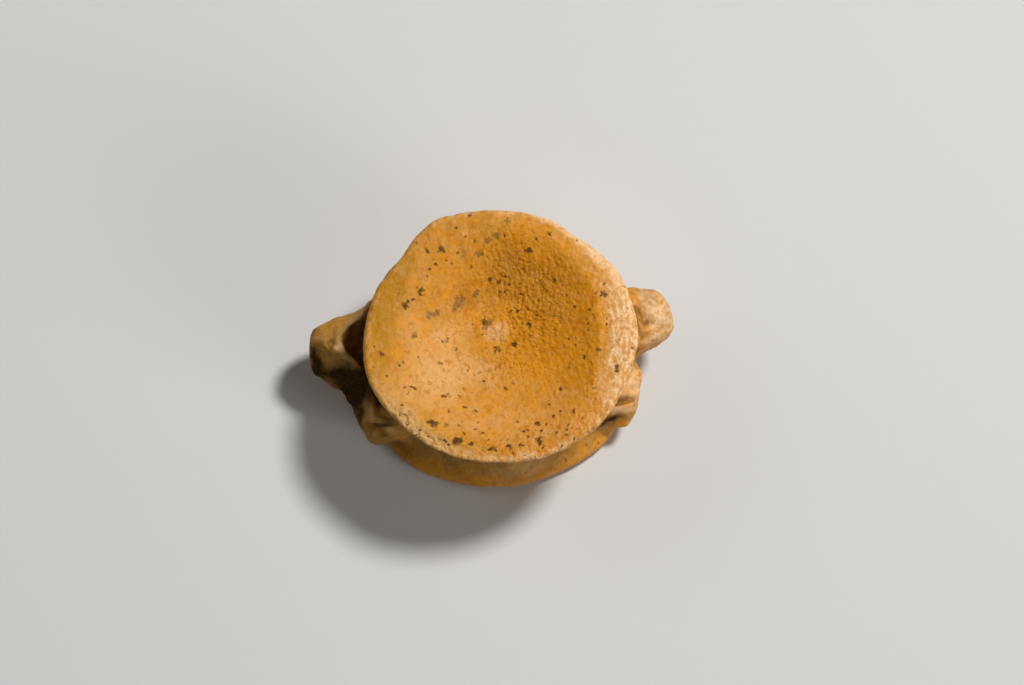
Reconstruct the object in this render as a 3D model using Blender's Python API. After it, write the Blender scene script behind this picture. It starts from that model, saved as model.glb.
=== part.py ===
# Fossil reptile vertebra: the body of one joint of a backbone, its arch lost.
# It lies on one end, at life size. +Z runs along the bone's own axis, +Y points to
# the animal's back, where the nerve cord ran, and X goes from side to side.
# Both ends are hollow dishes with rounded rims. Between them the body is drawn in
# like a spool, and each side carries two stubby processes that held a rib.
#
# The bone is one skin over a grid: bearings round the axis, and rows that run from
# the middle of the lower dish, over its rim, up the side and into the upper dish.

from math import cos, pi, radians, sin

import bmesh
import bpy
import numpy as np
from mathutils import Matrix

MM = 0.001

# Driving dimensions. A bearing is in degrees round the axis from +X, and a mark on
# an outline is its bearing, its rise and its spread in degrees.
LENGTH = 13.0 * MM
WAIST_PINCH = 2.1 * MM
WAIST_POWER = 0.85

UPPER_END = {
    "half_width": 11.0 * MM,
    "dorsal": 10.65 * MM,
    "ventral": 10.05 * MM,
    "dish_depth": 2.9 * MM,
    "dish_power": 1.35,
    "lip_end": 100,
    "lip_width": 0.60 * MM,
    # the rim is broad on the right: a bearing, the extra width and its spread
    "broad_lip": (-2, 2.0 * MM, 34),
    "lip_waver": 0.12 * MM,
    "worn_off": 0.0,
    "marks": {
        "right corner": (15, 0.20 * MM, 9),
        "right shoulder": (38, -0.30 * MM, 8),
        "right arch seat": (52, -0.30 * MM, 6),
        "dorsal edge": (75, -0.08 * MM, 12),
        "left arch seat": (113, 0.45 * MM, 9),
        "left shoulder": (137, -0.36 * MM, 7),
        "left flank": (190, 0.25 * MM, 10),
        "lower left": (226, 0.30 * MM, 32),
        "right flank": (322, -0.12 * MM, 12),
    },
}
LOWER_END = {
    "half_width": 11.2 * MM,
    "dorsal": 10.45 * MM,
    "ventral": 9.85 * MM,
    "dish_depth": 2.5 * MM,
    "dish_power": 1.0,
    "lip_end": 128,
    "lip_width": 1.30 * MM,
    "broad_lip": (0, 0.0, 34),
    "lip_waver": 0.0,
    # the crest on which the bone lies is worn to a flat land
    "worn_off": 0.10 * MM,
    "marks": {
        "right shoulder": (40, -0.35 * MM, 9),
        "right arch seat": (64, 0.15 * MM, 8),
        "left arch seat": (116, 0.20 * MM, 8),
        "left shoulder": (140, -0.35 * MM, 9),
        "left flank": (224, 0.12 * MM, 8),
        "right flank": (322, 0.38 * MM, 9),
    },
}
# The section of a rim runs from under its outer edge, over the crest and into the dish.
# Its crest is highest at one bearing and the one opposite, and drops between them.
LIP_START = -40
LIP_HIGH = 40
LIP_HEIGHT = 0.95 * MM
LIP_UNDER_WIDTH = 1.30 * MM
LIP_INNER_WIDTH = 1.30 * MM

# Ridges and hollows that run along the side, each as a bearing, a rise at the waist
# and a spread in degrees
RIDGES = {
    "right arch seat": (61, 1.35 * MM, 11),
    "left arch seat": (119, 1.35 * MM, 11),
    "canal floor": (90, -0.45 * MM, 9),
    "keel": (270, 0.45 * MM, 7),
    "right belly hollow": (298, -0.35 * MM, 10),
    "left belly hollow": (242, -0.35 * MM, 10),
}

# Processes, and the low web that joins each pair. Each stands at a bearing and a level,
# reaches a distance from the axis, and spans some degrees above and below its bearing
# and a depth along the axis. The edges say how squarely it ends above and below: 4 is
# round, 9 is square.
PROCESSES = {
    "right upper": {
        "bearing": 11.0,
        "level": 5.2 * MM,
        "reach": 14.8 * MM,
        "spans": (14.2, 12.6),
        "edges": (4.0, 4.0),
        "depth": 2.6 * MM,
    },
    "left upper": {
        "bearing": 171.5,
        "level": 5.2 * MM,
        "reach": 15.35 * MM,
        "spans": (13.4, 15.0),
        "edges": (2.6, 4.6),
        "depth": 2.7 * MM,
    },
    "right lower": {
        "bearing": -16.0,
        "level": 3.3 * MM,
        "reach": 12.05 * MM,
        "spans": (13.4, 18.0),
        "edges": (3.6, 9.0),
        "depth": 2.1 * MM,
    },
    "left lower": {
        "bearing": 199.0,
        "level": 3.3 * MM,
        "reach": 12.35 * MM,
        "spans": (15.0, 13.5),
        "edges": (3.6, 9.0),
        "depth": 2.1 * MM,
    },
    "left flank ridge": {
        "bearing": 187.5,
        "level": 3.3 * MM,
        "reach": 12.6 * MM,
        "spans": (8.0, 5.0),
        "edges": (3.0, 3.0),
        "depth": 2.1 * MM,
    },
    "left lamina": {
        "bearing": 158.0,
        "level": 7.0 * MM,
        "reach": 11.5 * MM,
        "spans": (9.0, 12.0),
        "edges": (3.0, 4.0),
        "depth": 3.0 * MM,
    },
    "right web": {
        "bearing": -4.0,
        "level": 4.0 * MM,
        "reach": 11.2 * MM,
        "spans": (10.0, 10.0),
        "edges": (4.0, 4.0),
        "depth": 2.6 * MM,
    },
    "left web": {
        "bearing": 184.5,
        "level": 4.0 * MM,
        "reach": 11.2 * MM,
        "spans": (10.0, 10.0),
        "edges": (4.0, 4.0),
        "depth": 2.6 * MM,
    },
}
PROCESS_CORNER = 2.4
PROCESS_DEPTH_EDGE = 5.0
MERGE = 4.0
UNDERCUT = 1.5 * MM

# The pocket between the left upper process and the rim. Its edge lies this far from the
# axis, with a bulge at one bearing. The skin falls by the drop inside the edge, growing
# to it between two levels, and stays as it is above a third.
POCKET = {
    "edge": 10.7 * MM,
    "bulge": 2.05 * MM,
    "bearing": 170.5,
    "spread": 6.0,
    "reach": (16.0, 30.0),
    "soft": 0.32 * MM,
    "drop": 2.8 * MM,
    "levels": (3.4 * MM, 8.6 * MM),
    "ceiling": (10.0 * MM, 11.2 * MM),
}

# Hollows pressed down into the processes: middle and half sizes in plan, the turn of
# the hollow in degrees, how steep its wall is, its depth, and the levels it grows between
HOLLOWS = {
    "root of the right upper process": {
        "middle": (11.6 * MM, 1.75 * MM),
        "half": (0.8 * MM, 1.5 * MM),
        "turn": 15,
        "wall": 3.2,
        "drop": 0.7 * MM,
        "levels": (4.6 * MM, 7.2 * MM),
    },
    "groove of the right lower process": {
        "middle": (10.0 * MM, -4.28 * MM),
        "half": (1.3 * MM, 0.35 * MM),
        "turn": 8,
        "wall": 4.0,
        "drop": 0.45 * MM,
        "levels": (3.2 * MM, 5.0 * MM),
    },
}

# Creases past which a process falls away: a point on the crest, the bearing downhill,
# the slope and how soft the crease is, the middle and half sizes in plan of the part it
# covers, and the levels it grows between
CREASES = {
    "left upper process": {
        "crest": (-13.0 * MM, 1.25 * MM),
        "downhill": 241,
        "slope": 0.95,
        "soft": 0.30 * MM,
        "middle": (-13.6 * MM, 0.2 * MM),
        "half": (2.2 * MM, 2.2 * MM),
        "levels": (4.2 * MM, 7.4 * MM),
    },
    "left lower process": {
        "crest": (-11.05 * MM, -3.8 * MM),
        "downhill": 188,
        "slope": 0.9,
        "soft": 0.30 * MM,
        "middle": (-12.2 * MM, -3.6 * MM),
        "half": (1.9 * MM, 3.0 * MM),
        "levels": (2.4 * MM, 4.6 * MM),
    },
    "right lower process": {
        "crest": (9.9 * MM, -4.85 * MM),
        "downhill": 285,
        "slope": 1.3,
        "soft": 0.15 * MM,
        "middle": (10.2 * MM, -5.6 * MM),
        "half": (1.9 * MM, 1.9 * MM),
        "levels": (2.2 * MM, 4.6 * MM),
    },
}
CREASE_RUN = 1.6 * MM

# Holes for blood vessels: a pair beside the keel and a pair in the canal floor
VESSELS = {
    "belly left": {"bearing": 257, "level": 6.6 * MM},
    "belly right": {"bearing": 283, "level": 6.2 * MM},
    "canal left": {"bearing": 96, "level": 6.2 * MM},
    "canal right": {"bearing": 84, "level": 6.6 * MM},
}
VESSEL_RADIUS = 0.42 * MM
VESSEL_TAPER = 0.4
VESSEL_DEPTH = 1.5 * MM
VESSEL_SIDES = 12

# The grid: how many bearings, how strongly they crowd on the processes, and how many
# rows each stretch has. Each stretch is first worked out at many more points, and its
# rows are then set along it. The side is then worn a little, to round its creases.
AROUND = 112
CROWDING = 0.8
ROWS = {"lower dish": 5, "lower rim": 6, "side": 30, "upper rim": 6, "upper dish": 6}
FINE = 240
WEAR_PASSES = 2
SHARP_EDGE = 50

# Dry ochre bone stained by iron
BONE_COLOUR = (0.60, 0.37, 0.13, 1.0)
BONE_ROUGHNESS = 0.62


def clear_scene():
    for obj in list(bpy.data.objects):
        bpy.data.objects.remove(obj)


def new_collection(name):
    made = bpy.data.collections.new(name)
    bpy.context.scene.collection.children.link(made)
    return made


def bone_material():
    made = bpy.data.materials.new("fossil_bone")
    made.use_nodes = True
    shader = made.node_tree.nodes["Principled BSDF"]
    shader.inputs["Base Color"].default_value = BONE_COLOUR
    shader.inputs["Roughness"].default_value = BONE_ROUGHNESS
    shader.inputs["Metallic"].default_value = 0.0
    return made


def away(bearings, centre):
    """Degrees from a bearing, positive anticlockwise, between -180 and 180."""
    return (bearings - centre + 180.0) % 360.0 - 180.0


def bump(bearings, centre, spread):
    """A bell curve round the axis: 1 at the centre."""
    return np.exp(-0.5 * (away(bearings, centre) / spread) ** 2)


def outline(end, bearings):
    """Radius of an end's outline: an ellipse plus the end's marks."""
    turn = np.radians(bearings)
    half_height = np.where(np.sin(turn) > 0, end["dorsal"], end["ventral"])
    radius = 1.0 / np.hypot(np.cos(turn) / end["half_width"], np.sin(turn) / half_height)
    for centre, rise, spread in end["marks"].values():
        radius = radius + rise * bump(bearings, centre, spread)
    return radius


def place(bearings, radius, height):
    turn = np.radians(bearings)
    x, y, z = np.broadcast_arrays(radius * np.cos(turn), radius * np.sin(turn), height)
    return np.stack([x, y, z], axis=-1)


def spool_radius(bearings, height):
    """The side without its processes: a straight blend of the two outlines, less the
    pinch of the waist, which is a sine from rim to rim, plus the ridges along it."""
    lower_edge = lip_point(LOWER_END, bearings, LIP_START)[0]
    upper_edge = lip_point(UPPER_END, bearings, LIP_START)[0]
    start = side_start(bearings)
    share = np.clip((height - start) / (side_end(bearings) - start), 0.0, 1.0)
    waist = np.sin(pi * share) ** WAIST_POWER
    ridges = sum(rise * bump(bearings, centre, spread) for centre, rise, spread in RIDGES.values())
    return lower_edge * (1.0 - share) + upper_edge * share + waist * (ridges - WAIST_PINCH)


def process_share(size, bearings, height):
    """How much of its reach a process has at a place: 1 over (1 + a power of the distance
    from its middle), so the tip is blunt and the root runs out into the side."""
    off = away(bearings, size["bearing"])
    # anticlockwise is up on the right of the bone, and down on its left
    up = off if abs(away(size["bearing"], 0.0)) < 90 else -off
    span = np.where(up > 0, size["spans"][0], size["spans"][1])
    edge = np.where(up > 0, size["edges"][0], size["edges"][1])
    across = np.abs(off) / span
    along = np.abs(height - size["level"]) / size["depth"]
    across, along, edge = np.broadcast_arrays(across, along, edge)
    distance = (across**PROCESS_CORNER + along**PROCESS_CORNER) ** (1.0 / PROCESS_CORNER)
    weight = across / (across + along + 1e-9)
    power = weight * edge + (1.0 - weight) * PROCESS_DEPTH_EDGE
    return 1.0 / (1.0 + distance**power)


def ease(value, start, end):
    """0 at the start and 1 at the end, in an S curve."""
    share = np.clip((value - start) / (end - start), 0.0, 1.0)
    return share * share * (3.0 - 2.0 * share)


def side_radius(bearings, height):
    """The spool with its processes, merged by a power sum of what each one adds. Next to
    either rim they are cut back to the spool."""
    spool = spool_radius(bearings, height)
    added = 0.0
    for size in PROCESSES.values():
        reach = np.maximum(size["reach"] - spool, 0.0)
        added = added + (reach * process_share(size, bearings, height)) ** MERGE
    start = side_start(bearings)
    end = side_end(bearings)
    clear = ease(height, start, start + UNDERCUT) * ease(height, end, end - UNDERCUT)
    return spool + added ** (1.0 / MERGE) * clear


def lip_point(end, bearings, angle):
    """Radius, and drop below the crest, of a point of the rim's section. Angle 0 is the
    outermost point and 90 is the crest. The section is three pieces of ellipse: under the
    edge, from the edge to the crest, and inside the crest."""
    turn = np.radians(angle)
    centre, extra, spread = end["broad_lip"]
    outer = end["lip_width"] + extra * bump(bearings, centre, spread)
    outer = np.where(turn > 0, outer, LIP_UNDER_WIDTH)
    width = np.where(np.cos(turn) > 0, outer, LIP_INNER_WIDTH)
    radius = outline(end, bearings) - outer + width * np.cos(turn)
    drop = LIP_HEIGHT * (1.0 - np.sin(turn))
    waver = end["lip_waver"] * (1.0 - np.cos(2.0 * np.radians(bearings - LIP_HIGH)))
    return radius, drop + waver - end["worn_off"]


def side_start(bearings):
    return lip_point(LOWER_END, bearings, LIP_START)[1]


def side_end(bearings):
    return LENGTH - lip_point(UPPER_END, bearings, LIP_START)[1]


def rim(end, bearings, fine):
    return lip_point(end, bearings, LIP_START + fine * (end["lip_end"] - LIP_START))


def dish(end, bearings, share):
    """A bowl. A power of 1 makes its depth fall with the square of the distance from the
    middle, and a higher one flattens it towards the rim. Its outline turns into a circle
    towards the middle."""
    edge, edge_drop = lip_point(end, bearings, end["lip_end"])
    radius = share * (edge * share + edge.mean() * (1.0 - share))
    hollow = np.clip(1.0 - share**2, 0.0, 1.0) ** end["dish_power"]
    return radius, edge_drop + (end["dish_depth"] - edge_drop) * hollow


def evenly(points, count):
    """Each bearing's line of points, set out again in rows that all the lines share. The
    rows stand closest where any of the lines is longest."""
    steps = np.linalg.norm(np.diff(points, axis=1), axis=2).max(axis=0)
    run = np.concatenate([[0.0], np.cumsum(steps)])
    last = points.shape[1] - 1
    where = np.interp(np.linspace(0.0, run[-1], count), run, np.arange(last + 1))
    before = np.minimum(where.astype(int), last - 1)
    share = (where - before)[None, :, None]
    return points[:, before] * (1.0 - share) + points[:, before + 1] * share


def crowded_bearings():
    """Bearings spaced by the length of the outline through the processes."""
    even = np.linspace(0.0, 360.0, 1441)
    level = PROCESSES["right upper"]["level"]
    lower_level = PROCESSES["right lower"]["level"]
    radius = np.maximum(side_radius(even, level), side_radius(even, lower_level))
    edge = place(even, radius, level)
    run = np.concatenate([[0.0], np.cumsum(np.linalg.norm(np.diff(edge, axis=0), axis=1))])
    mixed = CROWDING * run / run[-1] + (1.0 - CROWDING) * even / 360.0
    return np.interp(np.arange(AROUND) / AROUND, mixed, even)


def pocket_drop(x, y, z):
    """How far the pocket lowers each point."""
    off = away(np.degrees(np.arctan2(y, x)), POCKET["bearing"])
    edge = POCKET["edge"] + POCKET["bulge"] * bump(off, 0.0, POCKET["spread"])
    outside = np.clip((np.hypot(x, y) - edge) / POCKET["soft"], -40.0, 40.0)
    near, far = POCKET["reach"]
    inside = ease(np.abs(off), far, near) / (1.0 + np.exp(outside))
    low, high = POCKET["ceiling"]
    return POCKET["drop"] * inside * ease(z, *POCKET["levels"]) * ease(z, high, low)


def hollow_drop(size, x, y, z):
    """How far a hollow lowers each point: its depth over (1 + a power of the distance)."""
    turn = radians(size["turn"])
    x = x - size["middle"][0]
    y = y - size["middle"][1]
    across = (x * cos(turn) + y * sin(turn)) / size["half"][0]
    along = (y * cos(turn) - x * sin(turn)) / size["half"][1]
    low, high = POCKET["ceiling"]
    grown = ease(z, *size["levels"]) * ease(z, high, low)
    return size["drop"] * grown / (1.0 + np.hypot(across, along) ** size["wall"])


def crease_drop(size, x, y, z):
    """How far a crease lowers each point: the slope times the way downhill from it."""
    turn = radians(size["downhill"])
    way = (x - size["crest"][0]) * cos(turn) + (y - size["crest"][1]) * sin(turn)
    way = 0.5 * (way + np.hypot(way, size["soft"]) - size["soft"])
    across = (x - size["middle"][0]) / size["half"][0]
    along = (y - size["middle"][1]) / size["half"][1]
    covered = 1.0 / (1.0 + np.hypot(across, along) ** 4)
    return size["slope"] * np.clip(way, 0.0, CREASE_RUN) * covered * ease(z, *size["levels"])


def carve_processes(points):
    """Lowers the skin of the side by its pocket, then its hollows, then its creases."""
    x, y, z = np.moveaxis(points, -1, 0)
    z = z - pocket_drop(x, y, z)
    for size in HOLLOWS.values():
        z = z - hollow_drop(size, x, y, z)
    for size in CREASES.values():
        z = z - crease_drop(size, x, y, z)
    return np.stack([x, y, z], axis=-1)


def wear(grid):
    """Rounds the side's creases: each point moves to half itself and a quarter of both its
    neighbours, first round the axis and then along the side. The ends stay."""
    grid = grid.copy()
    for _ in range(WEAR_PASSES):
        beside = np.roll(grid, 1, axis=0) + np.roll(grid, -1, axis=0)
        grid[:, 1:-1] = (0.5 * grid + 0.25 * beside)[:, 1:-1]
        grid[:, 1:-1] = 0.5 * grid[:, 1:-1] + 0.25 * (grid[:, :-2] + grid[:, 2:])
    return grid


def bone_grid():
    """All rows of the skin as an array: bearing, row, and x, y, z."""
    bearings = crowded_bearings()[:, None]
    fine = np.linspace(0.0, 1.0, FINE)[None, :]
    start = side_start(bearings)
    height = start + fine * (side_end(bearings) - start)
    radius, drop = dish(LOWER_END, bearings, fine)
    lower_dish = place(bearings, radius, drop)
    radius, drop = rim(LOWER_END, bearings, fine[:, ::-1])
    lower_rim = place(bearings, radius, drop)
    side = carve_processes(place(bearings, side_radius(bearings, height), height))
    radius, drop = rim(UPPER_END, bearings, fine)
    upper_rim = place(bearings, radius, LENGTH - drop)
    radius, drop = dish(UPPER_END, bearings, fine[:, ::-1])
    upper_dish = place(bearings, radius, LENGTH - drop)
    stretches = {
        "lower dish": lower_dish,
        "lower rim": lower_rim,
        "side": side,
        "upper rim": upper_rim,
        "upper dish": upper_dish,
    }
    rows = [evenly(points, ROWS[name] + 1) for name, points in stretches.items()]
    side_place = list(stretches).index("side")
    rows[side_place] = wear(rows[side_place])
    # neighbouring stretches meet in one row
    grid = np.concatenate([rows[0]] + [row[:, 1:] for row in rows[1:]], axis=1)
    grid[..., 2] = np.maximum(grid[..., 2], 0.0)
    return grid


def skin(name, grid, collection):
    """A closed mesh over the grid: strips between the rows, and a fan over each dish's
    middle, where the first and the last row shrink to a point."""
    poles = grid[0, [0, -1]]
    grid = grid[:, 1:-1]
    around, rows = grid.shape[:2]
    points = np.concatenate([grid.reshape(-1, 3), poles])
    lower_pole = around * rows
    upper_pole = lower_pole + 1
    faces = []
    for i in range(around):
        here = i * rows
        beside = (i + 1) % around * rows
        for row in range(rows - 1):
            faces.append((here + row, beside + row, beside + row + 1, here + row + 1))
        faces.append((lower_pole, beside, here))
        faces.append((upper_pole, here + rows - 1, beside + rows - 1))
    mesh = bpy.data.meshes.new(name)
    mesh.from_pydata([tuple(point) for point in points], [], faces)
    work = bmesh.new()
    work.from_mesh(mesh)
    bmesh.ops.triangulate(work, faces=work.faces[:], quad_method="SHORT_EDGE")
    work.to_mesh(mesh)
    work.free()
    obj = bpy.data.objects.new(name, mesh)
    collection.objects.link(obj)
    return obj


def make_vessel(name, size, collection):
    """A tapered pin along the bearing, sunk into the side by the hole's depth."""
    bearing = np.array([float(size["bearing"])])
    surface = float(side_radius(bearing, size["level"])[0])
    mesh = bpy.data.meshes.new(name)
    work = bmesh.new()
    bmesh.ops.create_cone(
        work,
        cap_ends=True,
        segments=VESSEL_SIDES,
        radius1=(1.0 - VESSEL_TAPER) * VESSEL_RADIUS,
        radius2=(1.0 + VESSEL_TAPER) * VESSEL_RADIUS,
        depth=2.0 * VESSEL_DEPTH,
    )
    turn = Matrix.Rotation(radians(size["bearing"]), 4, "Z") @ Matrix.Rotation(radians(90), 4, "Y")
    out = Matrix.Translation((0.0, 0.0, surface))
    where = Matrix.Translation((0.0, 0.0, size["level"])) @ turn @ out
    bmesh.ops.transform(work, matrix=where, verts=work.verts[:])
    work.to_mesh(mesh)
    work.free()
    obj = bpy.data.objects.new(name, mesh)
    obj.hide_render = True
    obj.display_type = "WIRE"
    collection.objects.link(obj)
    return obj


def cut(obj, cutters):
    """Cuts with a whole collection, applies the cut and removes the cutters."""
    modifier = obj.modifiers.new("vessel holes", "BOOLEAN")
    modifier.operation = "DIFFERENCE"
    modifier.solver = "EXACT"
    modifier.operand_type = "COLLECTION"
    modifier.collection = cutters
    bpy.context.view_layer.update()
    graph = bpy.context.evaluated_depsgraph_get()
    applied = bpy.data.meshes.new_from_object(obj.evaluated_get(graph))
    obj.modifiers.clear()
    obj.data = applied
    for cutter in list(cutters.objects):
        bpy.data.objects.remove(cutter)
    bpy.data.collections.remove(cutters)


def keep_largest(obj):
    """Removes every separate piece of surface but the one with the most faces."""
    work = bmesh.new()
    work.from_mesh(obj.data)
    left = set(work.faces)
    pieces = []
    while left:
        piece = set()
        edge_of_piece = [next(iter(left))]
        while edge_of_piece:
            face = edge_of_piece.pop()
            if face in piece:
                continue
            piece.add(face)
            edge_of_piece.extend(other for edge in face.edges for other in edge.link_faces)
        left -= piece
        pieces.append(piece)
    largest = max(pieces, key=len)
    extra = [face for face in work.faces if face not in largest]
    bmesh.ops.delete(work, geom=extra, context="FACES")
    work.to_mesh(obj.data)
    work.free()


def centre_on_floor(obj):
    """Moves the mesh so that the middle of its box stands over the origin."""
    corners = np.array([vertex.co for vertex in obj.data.vertices])
    low = corners.min(axis=0)
    middle = 0.5 * (low + corners.max(axis=0))
    obj.data.transform(Matrix.Translation((-middle[0], -middle[1], -low[2])))


def finish(obj, material):
    obj.data.name = obj.name
    obj.data.materials.clear()
    obj.data.materials.append(material)
    obj.data.shade_smooth()
    obj.data.set_sharp_from_angle(angle=radians(SHARP_EDGE))


def main():
    clear_scene()
    parts = new_collection("fossil_reptile_vertebra")
    cutters = new_collection("cutters")
    bone = skin("vertebra", bone_grid(), parts)
    for name, size in VESSELS.items():
        make_vessel(name, size, cutters)
    cut(bone, cutters)
    keep_largest(bone)
    centre_on_floor(bone)
    finish(bone, bone_material())


main()
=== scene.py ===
# Fossil reptile vertebra, life size: the body of one joint of a backbone, its arch lost,
# lying on one of its two hollow ends. The bone is one skin worked out with numpy round its
# own axis, at the sizes of the solid in the frame. It is carved, pitted and given its worn
# rims, stains, grain, dark mineral specks, and painted light and shade on its processes and rims.
# The skin is kept as two closed pieces that meet under the near rim: the near face with its
# rim, and the rest.

import bpy
import numpy as np
from mathutils import Matrix, Vector


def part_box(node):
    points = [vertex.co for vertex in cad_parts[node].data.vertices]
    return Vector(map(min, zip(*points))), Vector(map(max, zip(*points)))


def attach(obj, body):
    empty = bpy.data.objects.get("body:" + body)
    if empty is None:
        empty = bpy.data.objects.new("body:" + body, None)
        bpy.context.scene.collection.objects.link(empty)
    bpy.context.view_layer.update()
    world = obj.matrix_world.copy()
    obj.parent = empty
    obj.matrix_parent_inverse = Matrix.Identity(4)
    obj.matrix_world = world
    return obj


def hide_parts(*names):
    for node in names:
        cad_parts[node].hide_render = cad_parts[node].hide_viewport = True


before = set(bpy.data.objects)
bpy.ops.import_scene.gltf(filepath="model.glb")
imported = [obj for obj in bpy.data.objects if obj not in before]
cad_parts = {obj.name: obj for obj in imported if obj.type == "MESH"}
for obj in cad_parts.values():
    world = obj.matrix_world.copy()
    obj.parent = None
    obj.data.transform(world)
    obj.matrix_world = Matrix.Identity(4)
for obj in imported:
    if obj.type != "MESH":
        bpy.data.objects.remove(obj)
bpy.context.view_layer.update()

mm = 0.001

# The camera: angles in degrees, lengths in millimetres, places in picture pixels
camera = {
    "azimuth": -21.4,
    "elevation": 76.6,
    "roll": 16.44,
    "distance": 360.0,  # from the middle of the near end
    "pixelsPerMm": 12.5,  # at that distance
    "nearEndMiddle": (503.6, 337.0),  # where that middle stands in the picture
    "pictureMiddle": (512.0, 342.5),
    "pictureWidth": 1024,
    "sensor": 36.0,
    "clip": (0.01, 10.0),  # metres
}


def cameraAxes():
    # right, up and back of the camera: back from azimuth and elevation, then a roll about it
    azimuth, elevation, roll = np.radians([camera[name] for name in ("azimuth", "elevation", "roll")])
    back = np.array(
        [
            np.sin(azimuth) * np.cos(elevation),
            -np.cos(azimuth) * np.cos(elevation),
            np.sin(elevation),
        ]
    )
    level = np.array([np.cos(azimuth), np.sin(azimuth), 0.0])
    right = level * np.cos(roll) + np.cross(back, level) * np.sin(roll)
    return right, np.cross(back, right), back


def pictureOf(points):
    # where points stand in the picture: a pinhole seen from the camera's distance
    right, up, back = cameraAxes()
    off = points - np.array([0.0, 0.0, bone["length"]])
    near = camera["pixelsPerMm"] * camera["distance"] / (camera["distance"] - off @ back)
    across = camera["nearEndMiddle"][0] + near * (off @ right)
    down = camera["nearEndMiddle"][1] - near * (off @ up)
    return np.stack([across, down], axis=-1)


# The whole form. Lengths are in millimetres. Bearings are in degrees round the axis, from
# the right of the bone and anticlockwise as the camera sees it.
bone = {
    "length": 13.0,
    "waistPinch": 2.1,
    "waistPower": 0.85,
    "lipStart": -40.0,  # the rim's section starts under its outer edge
    "lipHigh": 40.0,  # the bearing where the crest is highest
    "undercut": 1.5,  # the processes are cut back this near to the rims
    "around": 640,  # bearings
    "crowding": 0.25,  # share of their spacing that follows the processes
    "outlineSteps": 2881,  # by which the outline through the processes is measured
    "fine": 600,  # points along each stretch, before its rows are picked
    "rows": {"lower dish": 16, "lower rim": 20, "side": 114, "upper rim": 44, "upper dish": 106},
    "lidHeight": 8.0,  # where the hidden lids between the two pieces meet the axis
}

upperEnd = {
    "halfWidth": 11.0,
    "dorsal": 10.65,
    "ventral": 10.05,
    "dishDepth": 2.9,
    "dishPower": 1.35,
    "lipEnd": 100.0,  # the section ends just inside the crest
    "lipPower": 0.62,  # below 1 the section is squarer than an ellipse
    "underWidth": 1.30,
    "innerWidth": 1.30,
    "lipWidth": 0.60,
    "broadLip": (-2.0, 2.0, 34.0),  # bearing, extra width and spread of the broad part
    "lipHeight": 0.95,
    "thinLip": (238.0, 0.72, 42.0),  # bearing, share of the height lost there, and spread
    "lipWaver": 0.12,
    "wornOff": 0.0,
    # each mark on the outline is a bearing, a rise and a spread
    "marks": {
        "right corner": (14, -0.12, 7),
        "right upper edge": (28, 0.08, 6),
        "right shoulder": (38, -0.30, 8),
        "right arch seat": (52, -0.30, 6),
        "dorsal edge": (75, -0.08, 12),
        "left arch seat": (113, 0.45, 9),
        "left shoulder": (137, -0.36, 7),
        "left flank": (190, 0.25, 10),
        "thin part": (226, 0.30, 32),
        "right edge": (-18, -0.25, 14),
        "right flank": (322, -0.12, 12),
        "nick": (106.5, -0.12, 1.4),
        "chip": (148.0, -0.06, 1.6),
        "low chip": (214.0, -0.07, 2.0),
    },
}

lowerEnd = {
    "halfWidth": 11.2,
    "dorsal": 10.45,
    "ventral": 9.85,
    "dishDepth": 2.5,
    "dishPower": 1.0,
    "lipEnd": 128.0,
    "lipPower": 1.0,
    "underWidth": 1.30,
    "innerWidth": 1.30,
    "lipWidth": 1.30,
    "broadLip": (0.0, 0.0, 30.0),
    "lipHeight": 0.95,
    "thinLip": (0.0, 0.0, 30.0),
    "lipWaver": 0.0,
    "wornOff": 0.10,
    "marks": {
        "right shoulder": (40, -0.35, 9),
        "right arch seat": (64, 0.15, 8),
        "left arch seat": (116, 0.20, 8),
        "left shoulder": (140, -0.35, 9),
        "left flank": (224, 0.12, 8),
        "right flank": (322, 0.38, 9),
    },
}

# Ridges along the side: bearing, rise at the waist, spread
ridges = {
    "right arch seat": (61, 1.35, 11),
    "left arch seat": (119, 1.35, 11),
    "canal floor": (90, -0.45, 9),
    "keel": (270, 0.45, 7),
    "right belly hollow": (298, -0.35, 10),
    "left belly hollow": (242, -0.35, 10),
}

# Processes and the low webs between them: bearing, level and reach from the axis, spans
# above and below in degrees, how squarely they end, and depth along the axis
processes = {
    "right upper": (11.0, 5.2, 14.7, (14.2, 12.6), (4.0, 4.0), 2.6),
    "left upper": (171.5, 5.2, 15.3, (13.4, 15.0), (2.6, 4.6), 2.7),
    "right lower": (-16.0, 3.3, 12.05, (13.4, 18.0), (3.6, 9.0), 2.1),
    "left lower": (199.0, 3.3, 12.35, (15.0, 13.5), (3.6, 9.0), 2.1),
    "left flank ridge": (187.5, 3.3, 12.3, (8.0, 5.0), (3.0, 3.0), 2.1),
    "left lamina": (158.0, 7.0, 11.5, (9.0, 12.0), (3.0, 4.0), 3.0),
    "right web": (-4.0, 4.0, 11.2, (10.0, 10.0), (4.0, 4.0), 2.6),
    "left web": (184.5, 4.0, 11.2, (10.0, 10.0), (4.0, 4.0), 2.6),
}
processShape = {"corner": 2.4, "depthEdge": 5.0, "merge": 4.0}

# Holes for blood vessels: bearing and level
vessels = {
    "belly left": (257.0, 6.6),
    "belly right": (283.0, 6.2),
    "canal left": (96.0, 6.2),
    "canal right": (84.0, 6.6),
}
vesselShape = {"radius": 0.40, "depth": 1.1, "wall": 8.0}


def away(bearings, centre):
    # degrees from a bearing, from -180 to 180
    return (bearings - centre + 180.0) % 360.0 - 180.0


def bump(bearings, centre, spread):
    # bell curve round the axis: e to minus half the square of degrees over spread
    return np.exp(-0.5 * (away(bearings, centre) / spread) ** 2)


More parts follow.
